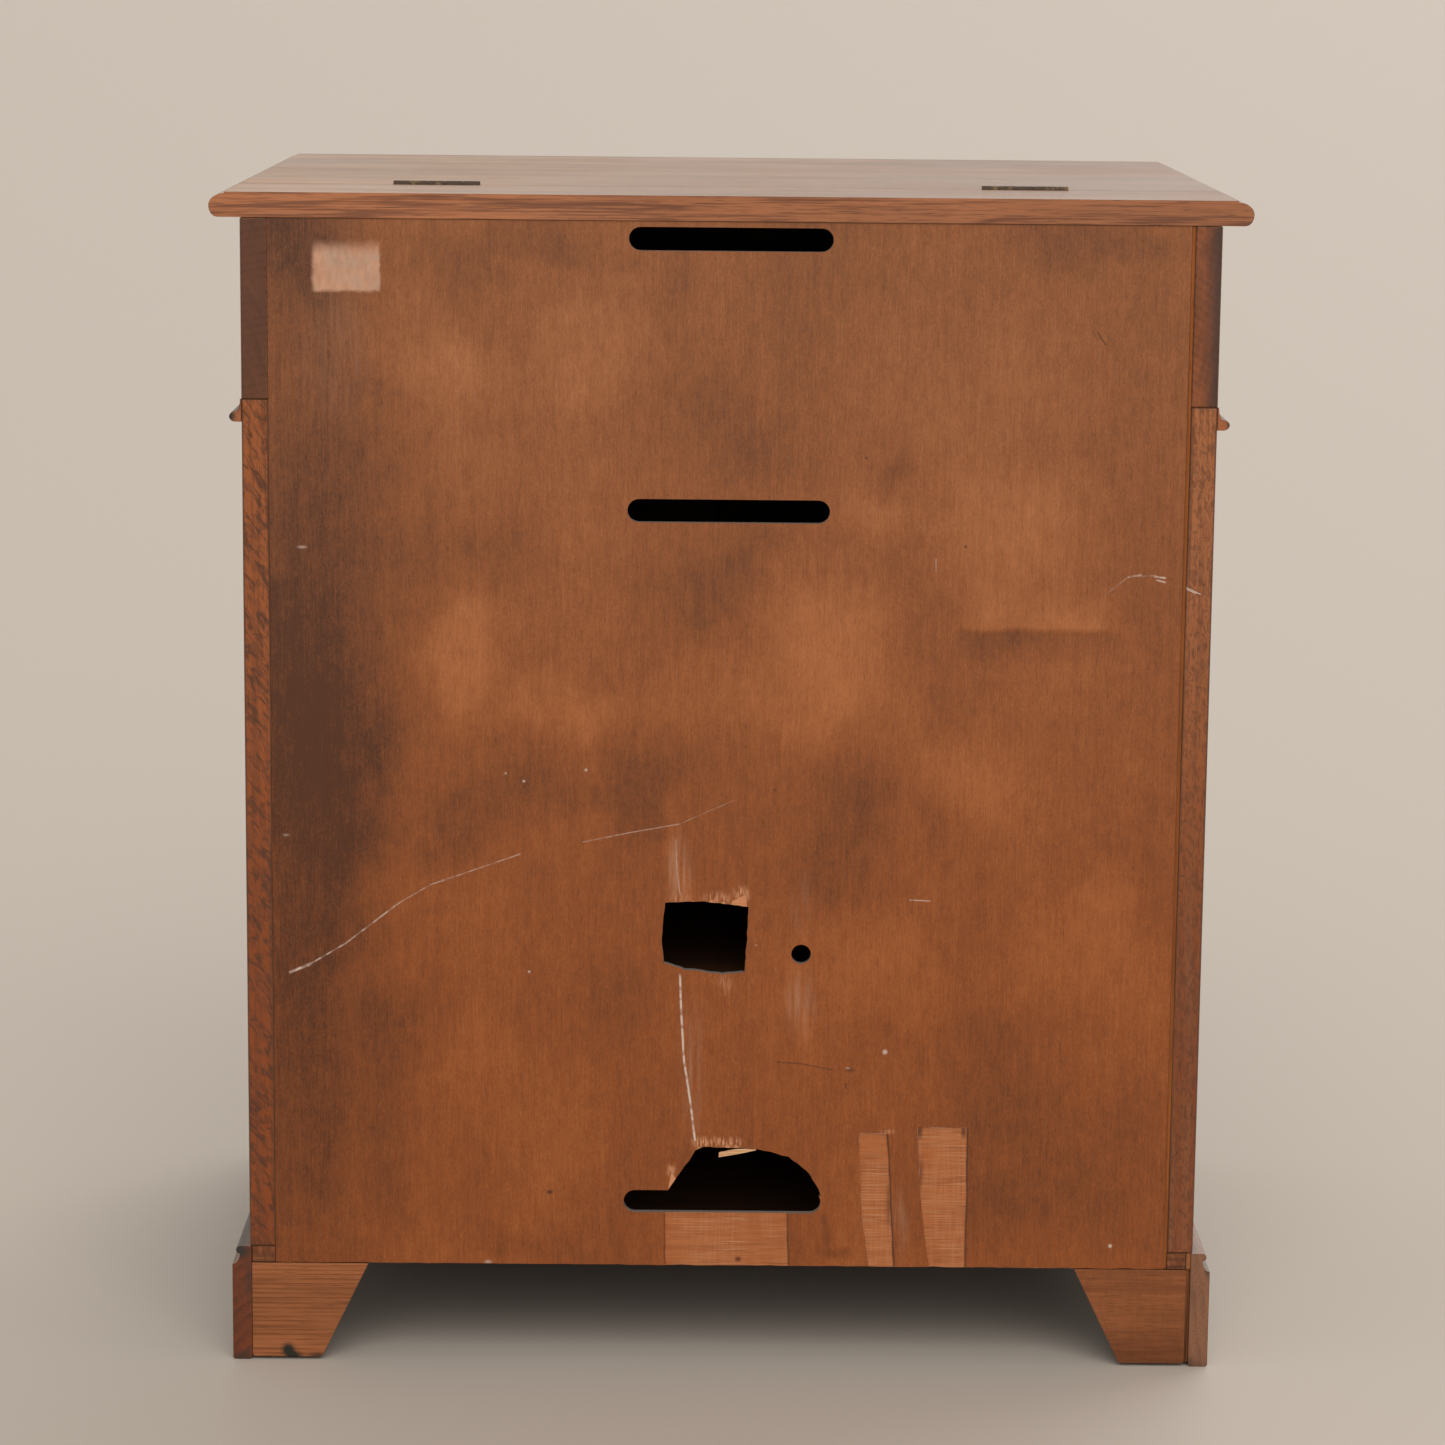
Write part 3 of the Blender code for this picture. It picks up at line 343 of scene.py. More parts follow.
def oak(name, grain, pith, face=STAINED, back=None, rough=0.42, ring=0.0035, wander=0.012, streaks=0.6,
        flecks=0.0, end_tone=0.55, wear=0.75, coat=0.25, clouds=0.12, blotch=0.0, lean=0.0,
        grain_of_blotch=(190, 90, 60), rim=None, chips=(), scuffs=(), painted_light_tint=None):
    """An oak finish. The pith is how far off the tree's middle lies, and back is the bare wood of the
    faces that look to the rear, with leaning blotches of old stain and a stained rim at the side's face.
    Chips are dark spots, and scuffs are pale scratches. The painted light tint lays a painted sheen and shade
    from -X to +X on the faces that do not look to the rear."""
    made, tree, shader = new_material(name)
    place = node(tree, "TexCoord").outputs
    turned = node(tree, "Mapping", {"Vector": place["Object"], "Rotation": GRAIN_TURN[grain]}).outputs[0]
    board = vector_calc(tree, "ADD", turned, pith)
    rear = ramp(tree, vector_calc(tree, "DOT_PRODUCT", place["Normal"], (0, 1, 0)), 0.75, 0.9)
    early, late = face["early"], face["late"]
    if back:
        # Rear faces with a low colour turn to it towards the bottom: painted shade where the light falls off.
        height = node(tree, "SeparateXYZ", {"Vector": place["Object"]}).outputs["Z"]
        low = ramp(tree, height, 0.80, 0.30)
        early = mixed(tree, rear, early, mixed(tree, low, back["early"], back.get("low", back["early"])))
        late = mixed(tree, rear, late, back["late"])
    figure = placed(tree, OAK_BOARD, {"Board": board, "Early Wood": early, "Late Wood": late, "Ring": ring,
                                      "Wander": wander, "Streaks": streaks, "Flecks": flecks})
    end = vector_calc(tree, "DOT_PRODUCT", place["Normal"], GRAIN_AXIS[grain])
    end = ramp(tree, calc(tree, "ABSOLUTE", end), 0.6, 0.95)
    shade = node(tree, "CombineColor", {0: end_tone, 1: end_tone, 2: end_tone}).outputs[0]
    colour = mixed(tree, end, figure["Color"], mixed(tree, 1.0, figure["Color"], shade, "MULTIPLY"))
    broad = ramp(tree, noise(tree, board, (2.2, 18, 18), 4, 0.65), 0.3, 0.7, 1 - clouds, 1 + clouds)
    broad = node(tree, "CombineColor", {0: broad, 1: broad, 2: broad}).outputs[0]
    colour = mixed(tree, 1.0, colour, broad, "MULTIPLY")
    # A painted sheen and shade: faces that do not look to the rear are tinted from one colour at -X to
    # another at +X.
    if painted_light_tint:
        across = node(tree, "SeparateXYZ", {"Vector": place["Object"]}).outputs["X"]
        tint = mixed(tree, ramp(tree, across, -0.42, 0.42), *painted_light_tint)
        colour = mixed(tree, minus(tree, 1.0, rear), colour, mixed(tree, 1.0, colour, tint, "MULTIPLY"))
    if blotch:
        leaning = node(tree, "Mapping", {"Vector": place["Object"], "Rotation": (0, lean, 0)}).outputs[0]
        dark = ramp(tree, noise(tree, leaning, grain_of_blotch, 3, 0.6, 1.0), 0.42, 0.66, 0.0, blotch)
        if back:
            dark = times(tree, dark, rear)
        colour = mixed(tree, dark, colour, (0.070, 0.023, 0.008, 1))
    arris = placed(tree, ARRIS, {"Radius": 0.0012, "Vector": place["Object"]})
    edge, worn = RUBBED, times(tree, arris["Mask"], wear)
    if back:
        edge = mixed(tree, rear, RUBBED, STAIN_EDGE)
        worn = times(tree, worn, minus(tree, 1.0, times(tree, rear, 0.65)))
    colour = mixed(tree, worn, colour, edge)
    if rim:
        outward = calc(tree, "ABSOLUTE", node(tree, "SeparateXYZ", {"Vector": place["Object"]}).outputs["X"])
        outward = times(tree, ramp(tree, outward, rim, 0.3712, 0.0, 0.85), rear)
        colour = mixed(tree, outward, colour, STAIN_EDGE)
    if chips:
        colour = mixed(tree, spots(tree, place["Object"], chips), colour, (0.022, 0.021, 0.015, 1))
    if scuffs:
        colour = mixed(tree, scratches(tree, place["Object"], scuffs), colour, (0.56, 0.45, 0.38, 1))
    # Old wax and dirt, and painted shade where little light reaches, darken the hollows and inside corners.
    dirt_and_shade = placed(tree, DIRT_AND_SHADE, {"Reach": 0.012, "Vector": place["Object"]})["Mask"]
    colour = mixed(tree, times(tree, dirt_and_shade, 0.6), colour, (0.035, 0.014, 0.006, 1))
    tree.links.new(colour, shader.inputs["Base Color"])
    dull = ramp(tree, noise(tree, place["Object"], (6, 6, 6), 3), 0.3, 0.7, rough - 0.05, rough + 0.1)
    if back:
        dull = plus(tree, dull, times(tree, rear, 0.25))
    tree.links.new(dull, shader.inputs["Roughness"])
    if back and coat:
        tree.links.new(ramp(tree, rear, 0.0, 1.0, coat, 0.0), shader.inputs["Coat Weight"])
    else:
        shader.inputs["Coat Weight"].default_value = coat
    shader.inputs["Coat Roughness"].default_value = 0.25
    shader.inputs["Specular IOR Level"].default_value = 0.45 if coat else 0.2
    bump = node(tree, "Bump", {"Strength": 0.35, "Distance": 0.0003, "Height": figure["Height"],
                               "Normal": arris["Normal"]})
    tree.links.new(bump.outputs[0], shader.inputs["Normal"])
    return made


def finish(names, material):
    """Gives CAD nodes their material."""
    for name in names.split():
        nodes[name].material_slots[0].material = material


RED_END = {"early": (0.165, 0.034, 0.006, 1), "late": (0.092, 0.020, 0.004, 1)}
GREY_END = {"early": (0.235, 0.103, 0.051, 1), "late": (0.160, 0.074, 0.041, 1)}
finish("plinth_left", oak("left_plinth_oak", "Y", (0, 0.31, 0.05), back=GREY_END, end_tone=0.9, ring=0.007,
                          chips=((-0.3700, 0.0030, 0.010, 0.008, 0.5), (-0.3840, 0.0800, 0.004, 0.010, 0.7))))
finish("plinth_right", oak("right_plinth_oak", "Y", (0, 0.31, 0.05), back=RED_END, end_tone=0.9, ring=0.009,
                           blotch=0.35, chips=((0.3800, 0.0890, 0.012, 0.010, 1.0),
                                               (0.3780, 0.0010, 0.012, 0.010, 0.7),
                                               (0.3725, 0.0650, 0.004, 0.025, 0.5))))
finish("plinth_front", oak("plinth_front_oak", "X", (0.4, 0.05, 0.21)))
RIBBED = {"early": (0.315, 0.112, 0.042, 1), "late": (0.195, 0.064, 0.023, 1)}
MOTTLED = {"early": (0.260, 0.088, 0.031, 1), "late": (0.180, 0.058, 0.020, 1)}
finish("rear_foot_left", oak("left_foot_oak", "X", (0.1, 0.03, -0.25), face=MOTTLED, rough=0.65, wear=0.5,
                             coat=0.0, streaks=0.6, ring=0.03, blotch=0.15, clouds=0.25))
finish("rear_foot_right", oak("right_foot_oak", "X", (0.6, 0.10, 0.35), face=RIBBED, rough=0.65, wear=0.6,
                              coat=0.0, ring=0.0027, wander=0.009, streaks=0.8, clouds=0.2,
                              chips=((0.3420, 0.0080, 0.0080, 0.0085, 1.2),
                                     (0.3370, 0.0035, 0.0090, 0.0050, 1.0),
                                     (0.3190, 0.0030, 0.0100, 0.0050, 0.7),
                                     (0.3560, 0.0010, 0.0120, 0.0030, 0.6))))

# The left foot stands a little clear of its plinth board. One strip of packing lies set back between
# them, and another above it fills the gap up to the top of the board.
PLINTH_BOARD = 0.0152
PACKING_THICKNESS = 0.010
PACKING_JOINT = 0.0004
LOWER_PACKING_BACK = 0.0035
UPPER_PACKING_BACK = 0.0015

plinth_low, plinth_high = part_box("plinth_left")
foot_low, foot_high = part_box("rear_foot_left")
packing = bmesh.new()
for low, high, back in ((foot_low.z, foot_high.z, LOWER_PACKING_BACK),
                        (foot_high.z + PACKING_JOINT, plinth_high.z, UPPER_PACKING_BACK)):
    size = Vector((foot_low.x - plinth_low.x - PLINTH_BOARD, PACKING_THICKNESS, high - low))
    middle = Vector((plinth_low.x + PLINTH_BOARD, foot_high.y - back - PACKING_THICKNESS, low)) + size / 2
    bmesh.ops.create_cube(packing, size=1, matrix=Matrix.Translation(middle) @ Matrix.Diagonal((*size, 1)))
packing = joined("foot_packing", [packing], "cabinet")
packing.data.materials.append(oak("packing_oak", "Z", (0.2, 0.1, 0.1), face=SAWN, coat=0.0, rough=0.7))

# ---------------------------------------------------------------- Carcase boards
# The bottom board, framed lower sides with fielded panels, upper side boards, the floor of the well and
# the shelf. Frames are stained oak outside, and bare quarter-sawn oak where their ends show at the back.
INSIDE = {"early": (0.080, 0.034, 0.015, 1), "late": (0.045, 0.018, 0.008, 1)}
BLOCK_END = {"early": (0.225, 0.082, 0.036, 1), "late": (0.110, 0.042, 0.022, 1)}
finish("bottom_board", oak("bottom_board_oak", "X", (0.2, 0.02, 0.12), face=INSIDE, back=BLOCK_END, rough=0.7,
                           coat=0.0, blotch=0.5))
finish("front_stile_left front_stile_right", oak("front_stile_oak", "Z", (0.3, 0.09, 0.02)))
THIN_RIM = 0.3696
WIDE_RIM = 0.3570
# The low colours of the posts are painted shade towards the bottom.
LIGHT_POST = {"early": (0.370, 0.132, 0.048, 1), "late": (0.200, 0.066, 0.021, 1),
              "low": (0.190, 0.048, 0.009, 1)}
# The +X post is darker partly in its own tone and partly as painted shade on that side.
DARK_POST = {"early": (0.345, 0.100, 0.025, 1), "late": (0.160, 0.042, 0.010, 1),
             "low": (0.230, 0.050, 0.005, 1)}
finish("rear_stile_left", oak("left_stile_oak", "Z", (0.1, 0.05, 0.0), back=LIGHT_POST, ring=0.008,
                              streaks=0.5, blotch=0.55, lean=-0.1, grain_of_blotch=(330, 90, 150),
                              rim=THIN_RIM, wear=0.3,
                              scuffs=((0.0006, 0.9, (-0.3506, 0.6238), (-0.3622, 0.6185)),
                                      (0.0006, 0.8, (-0.3520, 0.6220), (-0.3590, 0.6190)))))
finish("rear_stile_right", oak("right_stile_oak", "Z", (0.5, 0.05, 0.0), back=DARK_POST, ring=0.008,
                               streaks=0.5, blotch=0.85, lean=-0.6, grain_of_blotch=(210, 60, 75),
                               rim=THIN_RIM, wear=0.3))
finish("side_bottom_rail_left side_bottom_rail_right side_top_rail_left side_top_rail_right",
       oak("side_rail_oak", "Y", (0.7, 0.06, 0.02)))
finish("side_panel_left side_panel_right", oak("side_panel_oak", "Z", (0.9, 0.12, 0.0), flecks=0.3))
WARM_END = {"early": (0.250, 0.074, 0.022, 1), "late": (0.190, 0.056, 0.018, 1)}
DARK_END = {"early": (0.120, 0.040, 0.016, 1), "late": (0.095, 0.031, 0.012, 1)}
finish("upper_side_left", oak("left_upper_oak", "Y", (0.25, 0.2, 0.03), back=WARM_END, end_tone=0.95,
                              ring=0.006, blotch=0.45, lean=0.2, grain_of_blotch=(90, 60, 22), rim=WIDE_RIM,
                              wear=0.3))
finish("upper_side_right", oak("right_upper_oak", "Y", (0.65, 0.2, 0.03), back=DARK_END, end_tone=0.95,
                               ring=0.006, blotch=0.5, lean=-0.5, grain_of_blotch=(150, 60, 30), rim=THIN_RIM,
                               wear=0.3))
finish("well_floor shelf", oak("inside_board_oak", "X", (0.15, 0.3, 0.1), face=INSIDE, rough=0.6, wear=0.3,
                               coat=0.0))

# ---------------------------------------------------------------- Waist mouldings
# A cavetto over a bead, planted on the sides and the front and mitred at the corners. The sawn ends of
# the side lengths show at the back as bare end grain with a dark rim of polish.
WAIST_END = {"early": (0.340, 0.112, 0.042, 1), "late": (0.260, 0.082, 0.030, 1)}
finish("waist_moulding_left", oak("left_waist_oak", "Y", (0.35, 0.07, 0.05), back=WAIST_END, end_tone=0.95,
                                  ring=0.01, chips=((-0.3810, 0.7490, 0.003, 0.006, 0.9),)))
finish("waist_moulding_right", oak("right_waist_oak", "Y", (0.35, 0.07, 0.05), back=WAIST_END, end_tone=0.95,
                                   ring=0.01, chips=((0.3800, 0.7490, 0.006, 0.008, 1.0),
                                                     (0.3740, 0.7590, 0.004, 0.010, 0.7))))
finish("waist_moulding_front", oak("waist_front_oak", "X", (0.45, 0.07, 0.05)))

# ---------------------------------------------------------------- Plywood back
# A sheet of 6 mm plywood: a stained face veneer with upright grain over a pale core whose grain runs
# across. Three cable slots were routed in it, and three rough holes sawn later, which tore the veneer.
# Strips of veneer have also come away along the lower edge.
VENEER = 0.0006
EDGE_STEPS = 70
EDGE_ROUGHNESS = 0.0007
SAWN_ROUGHNESS = 0.0004
TORN_ROUGHNESS = 0.0003
CUT_PAST = 0.01
ROUND_STEPS = 24
SLOT_HALF = 0.0685
SLOT_RADIUS = 0.009
SLOT_LEVELS = (0.886, 0.679, 0.132)
ROUND_HOLE = (-0.0597, 0.3322)
ROUND_HOLE_RADIUS = 0.0077
SQUARE_HOLE = (
    (0.0466, 0.3726), (0.0330, 0.3729), (0.0191, 0.3740), (0.0050, 0.3722), (-0.0182, 0.3696),
    (-0.0176, 0.3440), (-0.0157, 0.3177), (0.0015, 0.3159), (0.0300, 0.3190), (0.0471, 0.3243),
    (0.0488, 0.3403),
)
LOWER_HOLE = (
    (0.0430, 0.1400), (0.0213, 0.1731), (0.0150, 0.1764), (-0.0100, 0.1758), (-0.0274, 0.1752),
    (-0.0518, 0.1689), (-0.0660, 0.1584), (-0.0741, 0.1463), (-0.0777, 0.1374), (-0.0745, 0.1360),
    (-0.0742, 0.1292), (0.0200, 0.1290),
)
BARE_STRIPS = (
    ((0.0448, 0.1240), (-0.0507, 0.1240), (-0.0524, 0.0790), (0.0443, 0.0790)),
    ((-0.1070, 0.1880), (-0.1285, 0.1882), (-0.1310, 0.1620), (-0.1330, 0.1200), (-0.1356, 0.0790),
     (-0.1160, 0.0790), (-0.1105, 0.1200)),
    ((-0.1530, 0.1935), (-0.1915, 0.1937), (-0.1920, 0.1300), (-0.1916, 0.0790), (-0.1640, 0.0790),
     (-0.1605, 0.1010), (-0.1560, 0.1400)),
)


def arc(centre, radius, start, end, steps):
    """Points of an arc in X and Z, from one angle to another in degrees."""
    angles = [math.radians(start + (end - start) * step / steps) for step in range(steps + 1)]
    return [(centre[0] + radius * math.cos(a), centre[1] + radius * math.sin(a)) for a in angles]


def ragged(outline, step, jitter, seed):
    """The outline with a point about every step, each moved a little off the line, as a tear runs."""
    chance = random.Random(seed)
    points = []
    for start, end in zip(outline, (*outline[1:], outline[0])):
        length = math.dist(start, end)
        pieces = max(1, round(length / step))
        side = Vector((end[1] - start[1], start[0] - end[0])) / length
        for piece in range(pieces):
            along = Vector(start).lerp(Vector(end), piece / pieces)
            points.append(tuple(along + side * chance.uniform(-jitter, jitter)))
    return points


def splinters(start, end, width, shortest, longest, seed):
    """A tear whose upper edge runs in upright splinters, from start to end along a hole's upper edge."""
    chance = random.Random(seed)
    count = max(2, round(math.dist(start, end) / width))
    sunk = 0.002
    points = [(start[0], start[1] - sunk)]
    for place in range(count + 1):
        x, z = Vector(start).lerp(Vector(end), place / count)
        rise = chance.uniform(shortest, longest) if place % 2 else chance.uniform(0, shortest)
        points.append((x + chance.uniform(-0.2, 0.2) * width, z + rise))
    return [*points, (end[0], end[1] - sunk)]


def prism(outline, near, far):
    """A closed solid with an outline in X and Z, from depth near to depth far."""
    shape = bmesh.new()
    face = shape.faces.new([shape.verts.new((x, near, z)) for x, z in outline])
    grown = bmesh.ops.extrude_face_region(shape, geom=[face])["geom"]
    moved = [part for part in grown if isinstance(part, bmesh.types.BMVert)]
    bmesh.ops.translate(shape, vec=(0, far - near, 0), verts=moved)
    bmesh.ops.recalc_face_normals(shape, faces=shape.faces)
    return shape


def carved(piece, shapes):
    """Cuts shapes out of a piece."""
    for shape in shapes:
        tool = joined("tool", [shape])
        change = piece.modifiers.new("carve", "BOOLEAN")
        change.object = tool
        change.operation = "DIFFERENCE"
        bpy.context.view_layer.update()
        result = bpy.data.meshes.new_from_object(piece.evaluated_get(bpy.context.evaluated_depsgraph_get()))
        piece.modifiers.clear()
        piece.data = result
        bpy.data.objects.remove(tool)


back_low, back_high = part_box("back_panel")
veneer_front = back_high.y - VENEER
holes = []
for level in SLOT_LEVELS:
    holes.append([*arc((SLOT_HALF, level), SLOT_RADIUS, 90, -90, ROUND_STEPS // 2),
                  *arc((-SLOT_HALF, level), SLOT_RADIUS, 270, 90, ROUND_STEPS // 2)])
holes.append(arc(ROUND_HOLE, ROUND_HOLE_RADIUS, 0, 360 - 360 / ROUND_STEPS, ROUND_STEPS - 1))
holes.append(ragged(SQUARE_HOLE, 0.004, SAWN_ROUGHNESS, 3))
holes.append(ragged(LOWER_HOLE, 0.005, SAWN_ROUGHNESS, 5))
tears = [ragged(strip, 0.006, TORN_ROUGHNESS, seed) for seed, strip in enumerate(BARE_STRIPS)]
tears += [
    splinters((0.0440, 0.3722), (0.0240, 0.3735), 0.0030, 0.0004, 0.0014, 11),
    splinters((0.0130, 0.3728), (-0.0040, 0.3712), 0.0024, 0.0008, 0.0042, 12),
    ((-0.0040, 0.3690), (-0.0048, 0.3725), (-0.0062, 0.3749), (-0.0090, 0.3757), (-0.0117, 0.3779),
     (-0.0140, 0.3784), (-0.0170, 0.3803), (-0.0174, 0.3690)),
    splinters((0.0205, 0.1735), (0.0140, 0.1750), 0.0020, 0.0010, 0.0040, 13),
    splinters((-0.0010, 0.1750), (-0.0140, 0.1745), 0.0030, 0.0020, 0.0055, 14),
    ((0.0420, 0.1400), (0.0423, 0.1440), (0.0400, 0.1560), (0.0388, 0.1545), (0.0360, 0.1500),
     (0.0330, 0.1530)),
]


def sheet_of(low_y, high_y, seed):
    """The whole back sheet between two depths, with a rough lower edge."""
    chance = random.Random(seed)
    step = (back_high.x - back_low.x) / EDGE_STEPS
    lower = [(back_low.x + place * step, back_low.z + chance.uniform(0, EDGE_ROUGHNESS))
             for place in range(EDGE_STEPS + 1)]
    return prism([*lower, (back_high.x, back_high.z), (back_low.x, back_high.z)], low_y, high_y)


core = joined("back_core", [sheet_of(back_low.y, veneer_front, 21)], "cabinet")
veneer = joined("back_veneer", [sheet_of(veneer_front, back_high.y, 22)], "cabinet")
for piece in (core, veneer):
    carved(piece, [prism(hole, back_low.y - CUT_PAST, back_high.y + CUT_PAST) for hole in holes])
carved(veneer, [prism(tear, veneer_front - CUT_PAST, back_high.y + CUT_PAST) for tear in tears])
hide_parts("back_panel")
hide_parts("back_panel")

STAIN_CLOUDS = (
    (0.322, 0.52, 0.075, 0.27, -0.8), (0.262, 0.57, 0.055, 0.16, -0.35), (0.262, 0.2, 0.05, 0.16, -0.45),
    (0.194, 0.655, 0.085, 0.06, -0.45), (0.19, 0.437, 0.085, 0.06, -0.45),
    (0.082, 0.461, 0.065, 0.055, -0.42), (-0.088, 0.447, 0.05, 0.09, -0.42),
    (-0.158, 0.432, 0.04, 0.06, -0.2), (0.007, 0.741, 0.06, 0.06, -0.3), (0.014, 0.62, 0.06, 0.05, -0.4),
    (-0.217, 0.241, 0.07, 0.065, -0.45), (-0.25, 0.15, 0.14, 0.11, -0.45),
    (0.237, 0.269, 0.06, 0.07, -0.35), (0.073, 0.294, 0.05, 0.06, -0.25), (0.17, 0.88, 0.15, 0.03, -0.4),
    (0.322, 0.26, 0.05, 0.15, -0.35), (0.262, 0.7, 0.05, 0.1, -0.4), (-0.02, 0.655, 0.055, 0.04, -0.3),
    (-0.09, 0.484, 0.05, 0.04, -0.25), (-0.31, 0.215, 0.06, 0.06, -0.25), (0.126, 0.44, 0.04, 0.03, -0.25),
    (-0.336, 0.48, 0.035, 0.28, -0.2), (-0.187, 0.54, 0.045, 0.05, -0.15), (-0.28, 0.885, 0.09, 0.03, -0.4),
    (0.213, 0.785, 0.065, 0.06, 0.5), (0.11, 0.78, 0.055, 0.07, 0.45), (0.2, 0.56, 0.06, 0.07, 0.7),
    (0.113, 0.53, 0.08, 0.05, 0.5), (-0.08, 0.56, 0.095, 0.07, 0.7), (0.01, 0.53, 0.06, 0.05, 0.45),
    (-0.215, 0.68, 0.1, 0.09, 0.45), (-0.116, 0.665, 0.04, 0.06, 0.5), (-0.18, 0.5, 0.06, 0.07, 0.45),
    (-0.27, 0.56, 0.06, 0.05, 0.35), (0.198, 0.237, 0.055, 0.05, 0.28), (0.04, 0.414, 0.016, 0.06, 0.5),
    (-0.059, 0.288, 0.018, 0.06, 0.4), (0.143, 0.189, 0.07, 0.08, 0.25), (-0.286, 0.34, 0.08, 0.07, 0.5),
    (-0.13, 0.34, 0.09, 0.07, 0.45), (0.05, 0.8, 0.03, 0.12, -0.2), (-0.058, 0.105, 0.016, 0.03, -0.45),
    (-0.095, 0.094, 0.02, 0.012, -0.55), (0.165, 0.092, 0.07, 0.022, -0.25),
    (-0.114, 0.706, 0.018, 0.04, -0.5), (0.32, 0.86, 0.05, 0.05, -0.5), (-0.21, 0.79, 0.08, 0.05, 0.15),
    (-0.02, 0.13, 0.42, 0.11, -0.12),
)
LABEL_PLACE = (0.3177, 0.265, 0.8432, 0.883)
FRAYS = (
    (0.006, 0.376, 0.018, 0.008, 0.7), (-0.013, 0.38, 0.01, 0.009, 0.9), (0.036, 0.376, 0.014, 0.008, 0.4),
    (-0.001, 0.308, 0.01, 0.012, 0.4), (0.017, 0.179, 0.008, 0.007, 0.8), (-0.007, 0.18, 0.013, 0.007, 0.9),
    (0.04, 0.157, 0.005, 0.008, 0.8), (0.009, 0.181, 0.022, 0.006, 0.7), (-0.13, 0.19, 0.01, 0.003, 0.5),
)
HAZES = (
    (0.036, 0.4, 0.014, 0.035, 0.7), (-0.059, 0.372, 0.012, 0.035, 0.3), (-0.06, 0.292, 0.018, 0.036, 0.45),
    (0.024, 0.24, 0.012, 0.08, 0.35), (-0.14, 0.115, 0.012, 0.04, 0.3), (0.3, 0.8, 0.04, 0.08, 0.2),
)
PALE_SCRATCHES = (
    (0.0015, 1.0, (0.3383, 0.3145), (0.3226, 0.3211)),
    (0.0009, 0.7, (0.3226, 0.3211), (0.2953, 0.3375), (0.2719, 0.3558), (0.2530, 0.3705)),
    (0.0007, 0.5, (0.2530, 0.3705), (0.2290, 0.3850), (0.2112, 0.3913), (0.1592, 0.4100)),
    (0.0012, 0.5, (0.2200, 0.3882), (0.2112, 0.3913)),
    (0.0007, 0.4, (0.1104, 0.4200), (0.0717, 0.4282), (0.0354, 0.4349)),
    (0.0005, 0.3, (0.0354, 0.4349), (0.0199, 0.4421), (-0.0070, 0.4542)),
    (0.0006, 0.3, (-0.2893, 0.6170), (-0.3068, 0.6311), (-0.3277, 0.6325)),
    (0.0009, 0.8, (-0.3068, 0.6311), (-0.3165, 0.6328)), (0.0006, 0.5, (-0.1591, 0.6437), (-0.1593, 0.6337)),
    (0.0010, 0.9, (-0.3269, 0.6317), (-0.3350, 0.6306)), (0.0009, 0.8, (-0.3285, 0.6290), (-0.3355, 0.6271)),
    (0.0006, 0.45, (0.0384, 0.4222), (0.0374, 0.3984), (0.0349, 0.3786)),
    (0.0012, 1.3, (0.0344, 0.3148), (0.0334, 0.2868), (0.0308, 0.2466), (0.0258, 0.2143), (0.0217, 0.1820)),
    (0.0008, 0.7, (-0.1438, 0.3762), (-0.1593, 0.3755)),
)
# Painted highlights along the torn edges of the veneer, where they catch the light.
TORN_EDGE_HIGHLIGHTS = (
    (0.0008, 0.8, (-0.1075, 0.1875), (-0.1110, 0.1200), (-0.1165, 0.0810)),
    (0.0009, 0.9, (-0.1535, 0.1930), (-0.1565, 0.1400), (-0.1645, 0.0810)),
    (0.0007, 0.7, (-0.1535, 0.1932), (-0.1910, 0.1934)), (0.0007, 0.6, (-0.1080, 0.1880), (-0.1280, 0.1881)),
    (0.0007, 0.6, (-0.1560, 0.1800), (-0.1600, 0.1200)),
)
# Painted shadows along edges of the bare strips, and dark lines elsewhere on the sheet.
EDGE_SHADOWS_AND_DARK_LINES = (
    (0.0012, 0.7, (-0.1292, 0.1875), (-0.1312, 0.1620), (-0.1335, 0.1200), (-0.1362, 0.0810)),
    (0.0012, 0.6, (-0.1922, 0.1930), (-0.1925, 0.1300), (-0.1921, 0.0810)),
    (0.0012, 0.5, (-0.0512, 0.1235), (-0.0530, 0.0810)), (0.0008, 0.5, (0.0452, 0.1235), (0.0447, 0.0810)),
    (0.0010, 0.5, (-0.0420, 0.2455), (-0.0600, 0.2445), (-0.0850, 0.2395)),
    (0.0008, 0.8, (-0.0960, 0.2290), (-0.0962, 0.2250)),
    (0.0009, 0.6, (-0.2790, 0.8180), (-0.2850, 0.8090)), (0.0007, 0.4, (-0.2740, 0.8200), (-0.2775, 0.8150)),
)
PALE_DOTS = ((0.1520, 0.3165, 0.0016, 0.0016, 0.8), (0.1840, 0.0812, 0.0045, 0.0025, 0.5),
             (-0.0975, 0.2410, 0.0030, 0.0010, 0.7), (-0.0246, 0.3390, 0.0014, 0.0014, 0.3),
             (-0.3063, 0.0984, 0.0022, 0.0024, 1.0), (-0.1263, 0.2544, 0.0030, 0.0030, 0.9),
             (0.3263, 0.6486, 0.0055, 0.0018, 0.5), (0.0331, 0.2815, 0.0016, 0.0020, 1.0),
             (0.1704, 0.4736, 0.0013, 0.0013, 0.7), (0.1563, 0.4676, 0.0018, 0.0015, 0.9),
             (0.1083, 0.4768, 0.0018, 0.0018, 0.8), (0.3404, 0.4235, 0.0040, 0.0016, 0.35))
DARK_DOTS = ((-0.1047, 0.7210, 0.0018, 0.0018, 0.7), (0.1353, 0.1387, 0.0040, 0.0026, 0.9),
             (-0.0992, 0.2396, 0.0060, 0.0030, 0.5), (-0.0379, 0.4623, 0.0020, 0.0025, 0.6),
             (-0.1817, 0.6534, 0.0018, 0.0022, 0.7))
LEDGE_MIDDLE = (-0.2380, 0.5885)
LEDGE_HALF = 0.062

